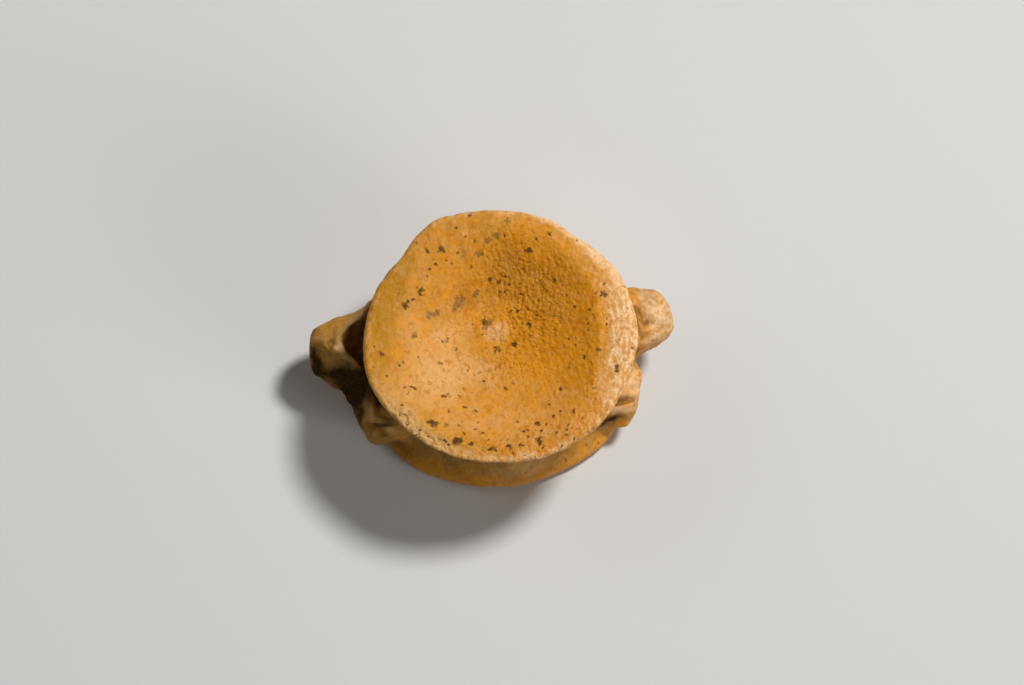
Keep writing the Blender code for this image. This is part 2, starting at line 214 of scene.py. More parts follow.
def outlineOf(end, bearings):
    # an ellipse with its own half height above and below, plus a bell curve for each mark
    turn = np.radians(bearings)
    halfHeight = np.where(np.sin(turn) > 0, end["dorsal"], end["ventral"])
    radius = 1.0 / np.hypot(np.cos(turn) / end["halfWidth"], np.sin(turn) / halfHeight)
    for centre, rise, spread in end["marks"].values():
        radius = radius + rise * bump(bearings, centre, spread)
    return radius


def lipPoint(end, bearings, angle):
    # the rim's section is three pieces of ellipse, under its edge, over it and inside its
    # crest: radius = outline - start + width * cos, drop = height * (1 - sin), where past
    # the edge both cos and sin are raised to the lip's power
    turn = np.radians(angle)
    centre, extra, spread = end["broadLip"]
    outer = end["lipWidth"] + extra * bump(bearings, centre, spread)
    start = np.where(turn > 0, outer, end["underWidth"])
    width = np.where(np.cos(turn) > 0, start, end["innerWidth"])
    power = np.where(turn > 0, end["lipPower"], 1.0)
    outward = np.sign(np.cos(turn)) * np.abs(np.cos(turn)) ** power
    upward = np.sign(np.sin(turn)) * np.abs(np.sin(turn)) ** power
    radius = outlineOf(end, bearings) - start + width * outward
    centre, lost, spread = end["thinLip"]
    drop = end["lipHeight"] * (1.0 - lost * bump(bearings, centre, spread)) * (1.0 - upward)
    waver = end["lipWaver"] * (1.0 - np.cos(2.0 * np.radians(bearings - bone["lipHigh"])))
    return radius, drop + waver - end["wornOff"]


def sideStart(bearings):
    return lipPoint(lowerEnd, bearings, bone["lipStart"])[1]


def sideEnd(bearings):
    return bone["length"] - lipPoint(upperEnd, bearings, bone["lipStart"])[1]


def spoolRadius(bearings, height):
    # straight blend of the two edges, less a waist that is a sine from rim to rim
    lowerEdge = lipPoint(lowerEnd, bearings, bone["lipStart"])[0]
    upperEdge = lipPoint(upperEnd, bearings, bone["lipStart"])[0]
    start = sideStart(bearings)
    share = np.clip((height - start) / (sideEnd(bearings) - start), 0.0, 1.0)
    waist = np.sin(np.pi * share) ** bone["waistPower"]
    rise = sum(rise * bump(bearings, centre, spread) for centre, rise, spread in ridges.values())
    return lowerEdge * (1.0 - share) + upperEdge * share + waist * (rise - bone["waistPinch"])


def processShare(size, bearings, height):
    # 1 / (1 + distance ** power), where distance is 1 on the edge of a rounded box
    bearing, level, reach, spans, edges, depth = size
    off = away(bearings, bearing)
    up = off if abs(away(bearing, 0.0)) < 90 else -off
    across = np.abs(off) / np.where(up > 0, spans[0], spans[1])
    along = np.abs(height - level) / depth
    edge = np.where(up > 0, edges[0], edges[1])
    across, along, edge = np.broadcast_arrays(across, along, edge)
    corner = processShape["corner"]
    distance = (across**corner + along**corner) ** (1.0 / corner)
    weight = across / (across + along + 1e-9)
    return 1.0 / (1.0 + distance ** (weight * edge + (1.0 - weight) * processShape["depthEdge"]))


def ease(value):
    # an S curve from 0 to 1
    share = np.clip(value, 0.0, 1.0)
    return share * share * (3.0 - 2.0 * share)


def sideRadius(bearings, height):
    # the spool plus a power sum of what each process adds, cut back next to the rims
    spool = spoolRadius(bearings, height)
    added = 0.0
    for size in processes.values():
        reach = np.maximum(size[2] - spool, 0.0)
        added = added + (reach * processShare(size, bearings, height)) ** processShape["merge"]
    clear = ease((height - sideStart(bearings)) / bone["undercut"])
    clear = clear * ease((sideEnd(bearings) - height) / bone["undercut"])
    radius = spool + added ** (1.0 / processShape["merge"]) * clear

    # each vessel hole: radius falls by depth / (1 + (distance / hole radius) ** wall)
    for bearing, level in vessels.values():
        around = radius * np.radians(away(bearings, bearing))
        distance = np.hypot(around, height - level) / vesselShape["radius"]
        radius = radius - vesselShape["depth"] / (1.0 + distance ** vesselShape["wall"])
    return radius


def place(bearings, radius, height, station):
    # x = radius * cos(bearing), y = radius * sin(bearing), and the row's station beside them
    turn = np.radians(bearings)
    parts = np.broadcast_arrays(radius * np.cos(turn), radius * np.sin(turn), height, station)
    return np.stack(parts, axis=-1)


def dishPoint(end, bearings, share):
    # a bowl: drop = edge drop + (depth - edge drop) * (1 - share squared) ** power, and its
    # outline turns into a circle towards the middle
    edge, edgeDrop = lipPoint(end, bearings, end["lipEnd"])
    radius = share * (edge * share + edge.mean() * (1.0 - share))
    hollow = np.clip(1.0 - share**2, 0.0, 1.0) ** end["dishPower"]
    return radius, edgeDrop + (end["dishDepth"] - edgeDrop) * hollow


# The pocket between the left upper process and the rim: how far out its edge lies at its
# sides and at its middle bearing, its spread, how soft the edge is, and the drop
pocket = {
    "edge": 10.7,
    "bulge": 1.95,
    "bearing": 170.5,
    "spread": 6.0,
    # no drop this many degrees off, and over how many it grows, before the bearing and past it
    "reach": ((30.0, 14.0), (19.0, 5.0)),
    "soft": 0.10,
    "drop": 2.8,
    "levels": (3.4, 8.6),
    "clear": (11.2, 1.2),  # no drop above this height, nearly all of it this much below
}

# Forms pressed down or raised along the axis: middle, half sizes and turn in plan, how
# sharp their edge is, the rise, and the heights between which they grow to their full rise
pressed = {
    "strut in the pocket": ((-10.75, 3.6), (0.22, 0.9), -48, 2.0, 0.9, (3.4, 6.0)),
    "second strut": ((-11.35, 2.7), (0.16, 0.7), -30, 2.0, 0.5, (3.4, 6.0)),
    "root of the right process": ((11.6, 1.75), (0.8, 1.5), 15, 1.6, -0.7, (4.6, 7.2)),
    "knob on the right root": ((12.15, 0.95), (0.40, 0.36), 0, 2.0, 0.45, (5.2, 7.2)),
    "pit on the left process": ((-13.62, 1.72), (0.15, 0.36), -24, 1.4, -0.5, (5.4, 7.4)),
    "bump by the pit": ((-13.15, 1.45), (0.5, 0.6), -30, 1.6, 0.30, (5.4, 7.4)),
    "ridge of the left process": ((-14.1, 1.9), (0.40, 1.1), 34, 1.5, 0.34, (4.6, 7.0)),
    "groove of the lower right process": ((10.0, -4.28), (1.3, 0.26), 8, 3.0, -0.6, (3.2, 5.0)),
    "second groove": ((10.9, -3.3), (0.8, 0.2), 4, 2.0, -0.25, (3.2, 5.0)),
    "ridge of the lower left process": ((-10.95, -3.6), (0.35, 1.1), 6, 2.0, 0.50, (3.2, 5.0)),
    "knob of the lower left process": ((-10.5, -5.3), (0.5, 0.4), 0, 2.0, 0.45, (3.0, 4.6)),
    "furrow by that knob": ((-10.1, -4.6), (0.9, 0.18), -12, 2.0, -0.45, (3.0, 4.6)),
    "third strut": ((-11.9, 1.9), (0.14, 0.6), -22, 2.0, 0.45, (3.4, 6.0)),
}

# Creases, past which a process falls away: a point on the crest and the downhill bearing in
# plan, slope, softness, the middle and half sizes of the part it covers, and the heights
creases = {
    "upper left": ((-13.0, 1.0), 241, 0.95, 0.5, (-13.6, 0.2), (2.2, 2.3), (4.2, 7.4)),
    "lower left": ((-11.05, -3.8), 188, 0.9, 0.25, (-12.2, -3.6), (1.9, 3.0), (2.4, 4.6)),
    "lower right": ((9.9, -4.85), 285, 1.3, 0.12, (10.2, -5.6), (1.9, 1.9), (2.2, 4.6)),
}
creaseShape = {"run": 1.6, "edge": 3}  # how far downhill it falls, how sharp its part ends


def pressForms(points):
    # the pocket: z falls by drop / (1 + e ** ((radius - edge) / softness)), the edge being
    # edge + bulge * a bell curve of the bearing (the clip only keeps e ** within range)
    moved = points.copy()
    radius = np.hypot(moved[..., 0], moved[..., 1])
    turn = np.degrees(np.arctan2(moved[..., 1], moved[..., 0]))
    edge = pocket["edge"] + pocket["bulge"] * bump(turn, pocket["bearing"], pocket["spread"])
    inside = 1.0 / (1.0 + np.exp(np.clip((radius - edge) / pocket["soft"], -40.0, 40.0)))
    off = away(turn, pocket["bearing"])
    (before, growing), (past, ending) = pocket["reach"]
    inside = inside * ease((before + off) / growing) * ease((past - off) / ending)
    limit, fall = pocket["clear"]

    def grown(foot, top):
        height = moved[..., 2]
        return ease((height - foot) / (top - foot)) * ease((limit - height) / fall)

    moved[..., 2] -= pocket["drop"] * inside * grown(*pocket["levels"])

    # then each form: z moves by rise / (1 + distance ** (2 * sharpness)), and each crease:
    # z falls by slope * the way downhill
    for (x, y), half, turn, sharp, rise, levels in pressed.values():
        angle = np.radians(turn)
        off = moved[..., :2] - np.array([x, y])
        across = (off[..., 0] * np.cos(angle) + off[..., 1] * np.sin(angle)) / half[0]
        along = (off[..., 1] * np.cos(angle) - off[..., 0] * np.sin(angle)) / half[1]
        distance = np.hypot(across, along)
        moved[..., 2] += rise * grown(*levels) / (1.0 + distance ** (2.0 * sharp))
    for (x, y), downhill, slope, soft, middle, half, levels in creases.values():
        angle = np.radians(downhill)
        way = (moved[..., 0] - x) * np.cos(angle) + (moved[..., 1] - y) * np.sin(angle)
        way = 0.5 * (way + np.hypot(way, soft)) - 0.5 * soft
        off = (moved[..., :2] - np.array(middle)) / np.array(half)
        part = 1.0 / (1.0 + (off**2).sum(axis=-1) ** creaseShape["edge"])
        moved[..., 2] -= slope * np.clip(way, 0.0, creaseShape["run"]) * part * grown(*levels)
    return moved


def evenRows(points, count):
    # rows shared by all bearings, set closest where any of the lines is longest
    steps = np.linalg.norm(np.diff(points[..., :3], axis=1), axis=2).max(axis=0)
    run = np.concatenate([[0.0], np.cumsum(steps)])
    last = points.shape[1] - 1
    where = np.interp(np.linspace(0.0, run[-1], count), run, np.arange(last + 1))
    before = np.minimum(where.astype(int), last - 1)
    share = (where - before)[None, :, None]
    return points[:, before] * (1.0 - share) + points[:, before + 1] * share


def crowdedBearings():
    # bearings spaced partly by the length of the outline through the processes
    even = np.linspace(0.0, 360.0, bone["outlineSteps"])
    levels = [processes[name][1] for name in ("right upper", "right lower")]
    radius = np.maximum(sideRadius(even, levels[0]), sideRadius(even, levels[1]))
    edge = place(even, radius, 0.0, 0.0)
    run = np.concatenate([[0.0], np.cumsum(np.linalg.norm(np.diff(edge, axis=0), axis=1))])
    mixed = bone["crowding"] * run / run[-1] + (1.0 - bone["crowding"]) * even / 360.0
    return np.interp(np.arange(bone["around"]) / bone["around"], mixed, even)


def boneGrid():
    # bearing by row: x, y, z and station. The station is 0 to 1 over the lower dish, to 2
    # over the lower rim, to 3 up the side, to 4 over the upper rim and to 5 in its dish.
    bearings = crowdedBearings()[:, None]
    fine = np.linspace(0.0, 1.0, bone["fine"])[None, :]
    lowerLip = bone["lipStart"] + fine * (lowerEnd["lipEnd"] - bone["lipStart"])
    upperLip = bone["lipStart"] + fine * (upperEnd["lipEnd"] - bone["lipStart"])
    start = sideStart(bearings)
    height = start + fine * (sideEnd(bearings) - start)
    lowerDish = dishPoint(lowerEnd, bearings, fine)
    lowerRim = lipPoint(lowerEnd, bearings, lowerLip[:, ::-1])
    upperRim = lipPoint(upperEnd, bearings, upperLip)
    upperDish = dishPoint(upperEnd, bearings, fine[:, ::-1])
    stretches = {
        "lower dish": place(bearings, lowerDish[0], lowerDish[1], fine),
        "lower rim": place(bearings, lowerRim[0], lowerRim[1], 1.0 + fine),
        "side": pressForms(place(bearings, sideRadius(bearings, height), height, 2.0 + fine)),
        "upper rim": place(bearings, upperRim[0], bone["length"] - upperRim[1], 3.0 + fine),
        "upper dish": place(bearings, upperDish[0], bone["length"] - upperDish[1], 4.0 + fine),
    }
    rows = [evenRows(points, bone["rows"][name] + 1) for name, points in stretches.items()]
    grid = np.concatenate([rows[0]] + [row[:, 1:] for row in rows[1:]], axis=1)
    return grid[..., :3], grid[..., 3], bearings


def normalsOf(grid):
    # cross product of the steps to the next bearing and the next row
    across = np.roll(grid, -1, axis=0) - np.roll(grid, 1, axis=0)
    along = np.gradient(grid, axis=1)
    normal = np.cross(across, along)
    normal[:, 0] = (0.0, 0.0, -1.0)
    normal[:, -1] = (0.0, 0.0, 1.0)
    return normal / np.maximum(np.linalg.norm(normal, axis=-1, keepdims=True), 1e-12)


# Large odd numbers that scatter whole numbers, for the random numbers of the noise
scatter = {
    "axes": (73856093, 19349663, 83492791),
    "seed": 2654435761,
    "turns": ((13, 1274126177), (16, 2246822519)),
    "kept": 0xFFFFFFFF,
    "lastShift": 15,
    "top": 0xFFFFFF,
    "offset": 1000.0,  # keeps the cells of a lattice above 0
}


def hashOf(cell, seed):
    # a steady random number from 0 to 1 for each whole-numbered cell
    value = seed * scatter["seed"]
    for axis, factor in enumerate(scatter["axes"]):
        value = value ^ cell[..., axis] * factor
    for shift, factor in scatter["turns"]:
        value = (value ^ (value >> shift)) * factor & scatter["kept"]
    value = (value ^ (value >> scatter["lastShift"])) & scatter["top"]
    return value / (scatter["top"] + 1.0)


def softNoise(points, size, seed):
    # value noise from -1 to 1: random corners of a lattice that is turned its own way for
    # each seed, blended by an S curve each way
    turned = points @ np.linalg.qr(np.random.default_rng(seed).normal(size=(3, 3)))[0]
    cells = turned / size + scatter["offset"]
    base = np.floor(cells).astype(np.int64)
    share = cells - base
    share = share * share * (3.0 - 2.0 * share)
    total = 0.0
    for corner in np.ndindex(2, 2, 2):
        weight = np.prod(np.where(np.array(corner) == 1, share, 1.0 - share), axis=-1)
        total = total + weight * hashOf(base + np.array(corner), seed)
    return 2.0 * total - 1.0


def layeredNoise(points, size, layers, seed):
    # soft noise at a size, at half of it, and so on, each half as strong
    total = 0.0
    for layer in range(layers):
        total = total + softNoise(points, size / 2**layer, seed + layer) * 0.5**layer
    return total


def cellNoise(points, size, seed):
    # distance to the nearest of one random point in each cell, in cells
    cells = points / size + scatter["offset"]
    base = np.floor(cells).astype(np.int64)
    nearest = np.full(points.shape[:-1], np.inf)
    for corner in np.ndindex(3, 3, 3):
        cell = base + np.array(corner) - 1
        middle = cell + np.stack([hashOf(cell, seed + axis) for axis in range(3)], axis=-1)
        nearest = np.minimum(nearest, np.linalg.norm(cells - middle, axis=-1))
    return nearest


def spot(pixels, at, wide, high, turn=0.0):
    # a soft ellipse in the picture: e to minus the square of the distance over half sizes,
    # its wide axis rising to the right by the turn
    angle = np.radians(turn)
    off = pixels - np.array(at)
    across = off[..., 0] * np.cos(angle) - off[..., 1] * np.sin(angle)
    along = off[..., 0] * np.sin(angle) + off[..., 1] * np.cos(angle)
    return np.exp(-((across / wide) ** 2) - (along / high) ** 2)


def spotsOf(places, named, total=0.0):
    # a start value and the sum of named spots: place, half sizes, turn and strength
    for at, wide, high, turn, strength in named.values():
        total = total + strength * spot(places, at, wide, high, turn)
    return total


def withNoise(value, waves, seedStep=0):
    # a value and the sum of soft noises over the skin: strength, size and seed
    for strength, size, seed in waves:
        value = value + strength * softNoise(grid, size, seed + seedStep)
    return value


# Where the near face and the side begin, as stations, and the tips of the processes, as
# millimetres from the axis: the start, and over how much each comes in
regions = {"near face": (3.12, 0.2), "side": (1.9, 0.3), "tips": (11.0, 1.8)}


def within(values, name):
    start, width = regions[name]
    return ease((values - start) / width)


grid, station, bearings = boneGrid()
pixels = pictureOf(grid)
normals = normalsOf(grid)
fromAxis = np.hypot(grid[..., 0], grid[..., 1])
edgeDistance = outlineOf(upperEnd, bearings) - fromAxis
nearFace = within(station, "near face")
side = (1.0 - nearFace) * within(station, "side")
tips = within(fromAxis, "tips") * side
print("bone grid:", grid.shape)

# Stains and tones of the near face, and a painted shade on its lower left rim: place in picture pixels, half
# sizes, turn, strength
faceStainsAndPaintedShade = {
    "ochre": {
        "upper right slope": ((562, 272), 56, 23, -42, 0.85),
        "right slope": ((586, 345), 17, 52, 0, 1.0),
        "lower right": ((576, 392), 32, 28, 0, 0.5),
        "middle right": ((545, 345), 36, 34, 0, 0.9),
        "top middle": ((512, 252), 44, 32, 0, 0.6),
        "middle": ((516, 318), 38, 44, 0, 0.85),
        "lower middle": ((532, 408), 46, 28, 10, 0.4),
        "left of the hump": ((470, 328), 18, 14, 0, 0.8),
        "left of the middle": ((462, 296), 18, 16, 0, 0.5),
    },
    "brown": {
        "upper middle": ((509, 268), 17, 26, 0, 0.9),
        "by the middle": ((532, 302), 22, 30, 0, 0.48),
        "upper right": ((553, 270), 20, 12, -40, 0.6),
        "left of the middle": ((466, 300), 16, 14, 0, 1.0),
        "over the middle": ((490, 290), 14, 15, 0, 0.4),
        "right slope": ((576, 312), 13, 24, 0, 0.3),
        "top": ((505, 243), 24, 10, 20, 0.2),
        "orange stroke": ((426, 392), 17, 2.6, -39, 0.6),
        "orange smudge": ((405, 347), 6, 2.5, 0, 0.6),
        # painted shade on the lower left rim, which faces away from the key lamp
        "lower left rim": ((442, 446), 34, 9, -24, 0.8),
        "upper left": ((438, 262), 26, 24, 0, 0.25),
        "beside the hump": ((472, 330), 13, 12, 0, 0.9),
    },
    "rosy": {
        "lower left": ((440, 376), 42, 32, 0, 1.0),
        "left middle": ((412, 322), 22, 24, 0, 0.4),
        "lower right": ((562, 398), 30, 20, 0, 0.35),
        "inner left": ((447, 336), 20, 14, 0, 0.4),
        "below the hump": ((482, 370), 24, 12, 20, 0.45),
        "hump": ((501, 331), 10, 7, 0, 1.5),
        "low middle": ((502, 420), 44, 14, 5, 0.4),
        "lower edge": ((546, 431), 44, 11, 18, 0.6),
        "top left": ((463, 228), 12, 6, 0, 0.6),
    },
    "pale": {"hump": ((500, 330), 7, 5, 0, 0.35)},
    "yellow": {
        "left edge, upper": ((388, 294), 15, 30, -14, 1.5),
        "left edge": ((381, 345), 9, 34, 0, 0.9),
        "left": ((404, 326), 26, 56, 0, 0.3),
        "upper left edge": ((404, 268), 12, 18, -40, 0.6),
        "top left": ((448, 226), 26, 9, 18, 0.45),
    },
}

# Tones along the near rim: bearing, spread, how far in from the edge, fade, strength
rimTones = {
    # partly pale worn rim, partly painted highlight along the edges that face the lamps
    "pale": {
        "right": (-6.0, 23.0, 3.5, 2.5, 0.85),
        "right edge": (-4.0, 22.0, 1.2, 0.9, 0.35),
        "lower right": (-32.0, 12.0, 1.7, 1.5, 0.45),
        "bottom right": (-78.0, 16.0, 0.9, 0.8, 0.5),
        "upper right": (32.0, 14.0, 1.1, 0.9, 0.9),
        "top right": (62.0, 12.0, 0.8, 0.7, 0.7),
        "top": (88.0, 30.0, 0.6, 0.5, 0.45),
        "bottom": (276.0, 24.0, 0.8, 0.6, 0.45),
        "left": (176.0, 30.0, 0.6, 0.5, 0.2),
    },
    "beige": {"lower left": (222.0, 18.0, 2.2, 1.8, 0.9), "bottom": (252.0, 14.0, 1.3, 1.1, 0.35)},
    "dotty": {
        "right": (-8.0, 26.0, 3.0, 1.2, 1.0),
        "lower right": (300.0, 26.0, 4.2, 1.8, 1.0),
        "bottom": (262.0, 18.0, 3.0, 1.4, 0.7),
    },
}


# How ragged the edges of the tones are: noises with their strength, size and seed
ragged = {
    "spots": ((8.0, 1.9, 61), (4.0, 0.7, 71)),  # strength in pixels
    "rim": ((1.0, 0.9, 81), (0.5, 0.4, 82)),
    "rimStrength": 0.35,  # millimetres
}


def warpedPixels():
    # places in the picture, moved a few pixels by noise so that stains get ragged edges
    moved = pixels.copy()
    for axis in range(2):
        moved[..., axis] += withNoise(0.0, ragged["spots"], axis)
    return moved


def toneOf(name):
    # the sum of a tone's spots and of its stretches along the rim, at most 1
    total = spotsOf(warped, faceStainsAndPaintedShade.get(name, {}))
    for bearing, spread, inward, fade, strength in rimTones.get(name, {}).values():
        reach = ease((inward + ragged["rimStrength"] * raggedRim - edgeDistance) / fade)
        total = total + strength * bump(bearings, bearing, spread) * reach
    return np.clip(total, 0.0, 1.0) * nearFace


warped = warpedPixels()
raggedRim = withNoise(0.0, ragged["rim"])
tones = {name: toneOf(name) for name in {**faceStainsAndPaintedShade, **rimTones}}
print("tones done")

# Larger forms of the near face: place in picture pixels, half sizes, turn, rise in mm
swells = {
    "hump": ((501, 331), 11, 7, 0, 0.16),
    "hollow beside the hump": ((486, 326), 9, 7, 0, -0.12),
    "step under the hump": ((508, 342), 16, 4, 10, -0.06),
    "diagonal groove": ((426, 392), 18, 2.4, -39, -0.06),
    "hollow, upper middle": ((512, 268), 16, 20, 0, -0.07),
    "swell, upper middle": ((538, 262), 9, 26, -20, 0.05),
    "fold, top": ((560, 250), 5, 20, -30, -0.04),
    "dent, top left": ((470, 226), 5, 4, 0, -0.08),
    "dent, left edge": ((392, 300), 10, 5, 40, -0.07),
    "dent, lower left": ((404, 347), 5, 3, 0, -0.05),
}

# Where the near face is rough: place in picture pixels, half sizes, turn, strength
roughZones = {
    "right of the middle": ((530, 306), 32, 44, -12, 1.0),
    "upper middle": ((505, 270), 18, 30, 0, 0.7),
    "below the middle": ((492, 360), 46, 24, 15, 0.6),
    "lower right": ((565, 428), 46, 16, 22, 0.55),
    "lower left rim": ((415, 425), 34, 14, -38, 0.8),
    "bottom rim": ((480, 446), 50, 9, -4, 0.8),
    "right": ((600, 380), 14, 40, 0, 0.35),
}

# Grain of the skin, in millimetres. A noise is its size and seed, and the grains add the
# rise where the skin is smooth and the extra rise where it is rough.
relief = {
    "waves": {
        "broad": (3.4, 3, 0.055, 0.0),
        "narrow": (1.1, 11, 0.040, 0.04),
        "grains": (0.30, 13, 0.016, 0.060),
        "fine grains": (0.17, 17, 0.012, 0.060),
    },
    "strokes": (0.22, 19, 0.022, 0.036),
    "strokeLean": 4.0,  # degrees from the up direction of the picture
    "strokeStretch": 0.50,  # their width as a share of their length
    "strokeBend": (0.22, 0.9, 43),  # how far they bend, and the noise by which they do
    "pits": (0.46, 31, 0.020, 0.100),
    "pitEdge": (0.36, 0.26),  # in cells: how far they reach, and over how much they slope
    "pitDepths": (0.4, 0.6, 0.5, ((1.0, 1.1, 37),)),  # least, extra, and where it comes in
    "sideGrain": (1.6, 23, 4, 0.10),  # size, seed, layers of noise and rise
    "tipGrain": (0.8, 29, 3, 0.10),
}

# Thin lines along the broad right rim: distances in from the edge, width, rise, the bearing
# and spread of the stretch, and the noises that make them waver and break them up
lamellae = {
    "lines": (0.14, 0.50, 0.98, 1.5, 1.95),
    "width": 0.09,
    "rise": 0.035,
    "stretch": (-6.0, 19.0),
    "waver": ((0.14, 1.6, 5), (0.05, 0.5, 6)),
    "breaks": (0.6, ((1.0, 1.0, 91), (0.6, 0.35, 92))),
}


def drawnStrokes():
    # soft noise of the picture's places, drawn out along a lean and bent sideways
    scale = camera["pixelsPerMm"]
    lean = np.radians(relief["strokeLean"])
    bend, bendSize, bendSeed = relief["strokeBend"]
    across = pixels[..., 0] * np.cos(lean) - pixels[..., 1] * np.sin(lean)
    along = pixels[..., 0] * np.sin(lean) + pixels[..., 1] * np.cos(lean)
    bent = scale * bend * softNoise(grid, bendSize, bendSeed)
    drawn = np.stack([across + bent, along * relief["strokeStretch"], 0.0 * station], axis=-1)
    return softNoise(drawn / scale, *relief["strokes"][:2]) * nearFace


def pitMask():
    # 1 in the middle of a pit and 0 past its edge
    reach, slope = relief["pitEdge"]
    return ease((reach - cellNoise(grid, *relief["pits"][:2])) / slope)


def lamellaMask():
    # the sum over the lines of e to minus the square of the distance over the width
    wavy = withNoise(edgeDistance, lamellae["waver"])
    lines = sum(np.exp(-(((wavy - line) / lamellae["width"]) ** 2)) for line in lamellae["lines"])
    start, waves = lamellae["breaks"]
    return lines * bump(bearings, *lamellae["stretch"]) * nearFace * ease(withNoise(start, waves))


def riseOf(plain, extra):
    return plain + extra * rough


rough = np.clip(spotsOf(warped, roughZones), 0.0, 1.0) * nearFace
pits = pitMask()
lamella = lamellaMask()
height = np.zeros(grid.shape[:2])
for at, wide, high, turn, rise in swells.values():
    height += rise * spot(pixels, at, wide, high, turn) * nearFace
for size, seed, plain, extra in relief["waves"].values():
    height += riseOf(plain, extra) * softNoise(grid, size, seed)
height += riseOf(*relief["strokes"][2:]) * drawnStrokes()
least, deeper, start, waves = relief["pitDepths"]
height -= riseOf(*relief["pits"][2:]) * pits * (least + deeper * ease(withNoise(start, waves)))
height += lamellae["rise"] * lamella
for name, where in (("sideGrain", side), ("tipGrain", tips)):
    size, seed, layers, rise = relief[name]
    height += rise * where * layeredNoise(grid, size, layers, seed)
height[:, 0] = 0.0
height[:, -1] = height[:, -2].mean()
grid = grid + normals * height[..., None]
print("relief done, from", round(float(height.min()), 3), "to", round(float(height.max()), 3), "mm")

# Dark mineral specks of the near face: place and half size in picture pixels. The crisp
# ones are brown black, and the smears are soft and greyish.
specks = {
    "top": [(550, 233, 3.0), (528, 250, 4.6), (469, 216, 2.8), (536, 238, 1.6), (521, 244, 1.4)],
    "upper left": [(441, 250, 4.4), (426, 250, 3.2), (418, 243, 2.0), (457, 252, 2.0)],
    "left chain": [(420, 290, 4.4), (421, 295, 2.8), (414, 299, 2.6), (408, 301, 2.6), (404, 305, 4.6)],
    "upper left dots": [(447, 260, 1.6), (452, 264, 2.0), (435, 264, 2.4), (430, 269, 1.6), (428, 277, 1.6)],
    "over the middle": [(489, 280, 3.2), (498, 281, 3.6), (506, 276, 1.8), (500, 292, 1.4), (518, 310, 2.4)],
    "by the middle": [(511, 311, 2.0), (528, 324, 3.0), (498, 348, 4.4), (515, 345, 3.2), (485, 322, 3.6)],
    "upper right": [(554, 280, 2.2), (590, 310, 1.6), (575, 306, 1.8), (605, 284, 1.6), (595, 293, 1.8)],
    "right": [(604, 295, 3.6), (599, 349, 2.6), (583, 358, 2.6), (569, 339, 2.0), (576, 345, 1.6)],
    "right rim": [(617, 368, 4.2), (627, 308, 1.4), (632, 349, 1.8), (588, 323, 1.8)],
    "lower right": [(569, 367, 2.0), (560, 389, 2.6), (594, 389, 1.8), (573, 411, 2.8), (583, 417, 1.8)],
    "low right": [(568, 425, 2.2), (561, 412, 1.8), (553, 416, 2.4), (538, 423, 3.6), (556, 432, 1.8)],
    "bottom right": [(538, 441, 4.4), (541, 437, 1.8), (573, 439, 1.4), (562, 446, 1.6), (528, 430, 1.8)],
    "bottom": [(524, 432, 1.8), (520, 445, 2.2), (508, 446, 3.4), (493, 448, 4.2), (513, 453, 1.8)],
    "bottom left": [(457, 440, 6.2), (471, 445, 3.8), (483, 432, 1.8), (475, 429, 2.4), (478, 422, 1.6)],
    "lower left": [(433, 423, 6.0), (444, 396, 3.4), (449, 411, 1.6), (460, 426, 1.6), (464, 407, 2.6)],
    "low left": [(413, 388, 3.4), (405, 388, 2.0), (428, 436, 1.6), (440, 440, 1.8), (420, 430, 1.4)],
    "left": [(381, 353, 3.6), (401, 415, 1.6), (408, 425, 1.4), (418, 358, 1.4), (387, 376, 1.6)],
    "middle low": [(459, 396, 1.8), (464, 388, 1.6), (484, 381, 1.6), (505, 389, 2.6), (448, 394, 1.4)],
}
smears = {
    "largest": [(460, 305, 8.6), (456, 308, 5.0), (431, 314, 5.6), (438, 312, 4.4)],
    "top": [(497, 234, 4.6), (488, 241, 4.4), (479, 254, 5.0), (508, 220, 3.2), (463, 256, 2.6)],
    "middle": [(486, 326, 5.6), (476, 294, 4.8), (471, 268, 2.8), (529, 325, 4.0), (492, 320, 3.6)],
    "left": [(413, 335, 4.0), (445, 341, 4.0), (455, 350, 3.4), (402, 362, 2.6), (441, 364, 2.8)],
    "lower": [(447, 425, 3.0), (433, 423, 5.0), (516, 422, 2.8), (513, 384, 2.6)],
}

# A mark is a few blobs along bent arms. Sizes are shares of the mark's own, except where
# millimetres are named.
speckShape = {
    "seed": 7,
    "blobs": (7, 14),
    "arms": (3, 6),
    "armReach": (0.15, 0.95),
    "armBend": 0.35,  # radians
    "blobSizes": (0.24, 0.50),
    "taper": (1.25, 0.6),  # a blob's size at the middle, and what it loses along the arm
    "depths": (0.55, 1.0),
    "least": 0.05,  # millimetres
    "spare": (1.6, 0.1),  # the part of the skin looked at: share, and millimetres added
    "aside": (0.3, 0.5, 0.81),  # any direction that isn't a normal of the near face
    "jitter": (0.07, 0.22, 47),  # strength in millimetres, noise size and seed
    "soft": {"specks": 0.8, "smears": 1.1},
    "nearFaceDots": 60,
    "sideDots": 50,
    "dotSizes": (0.05, 0.13),  # millimetres
    "dotChance": 0.35,  # all over the near face, and more in the zones, spots of the picture
    "dotZones": {
        "lower edge": ((490, 440), 95, 26, 0, 1.4),
        "upper left": ((430, 250), 50, 40, 0, 0.7),
    },
}


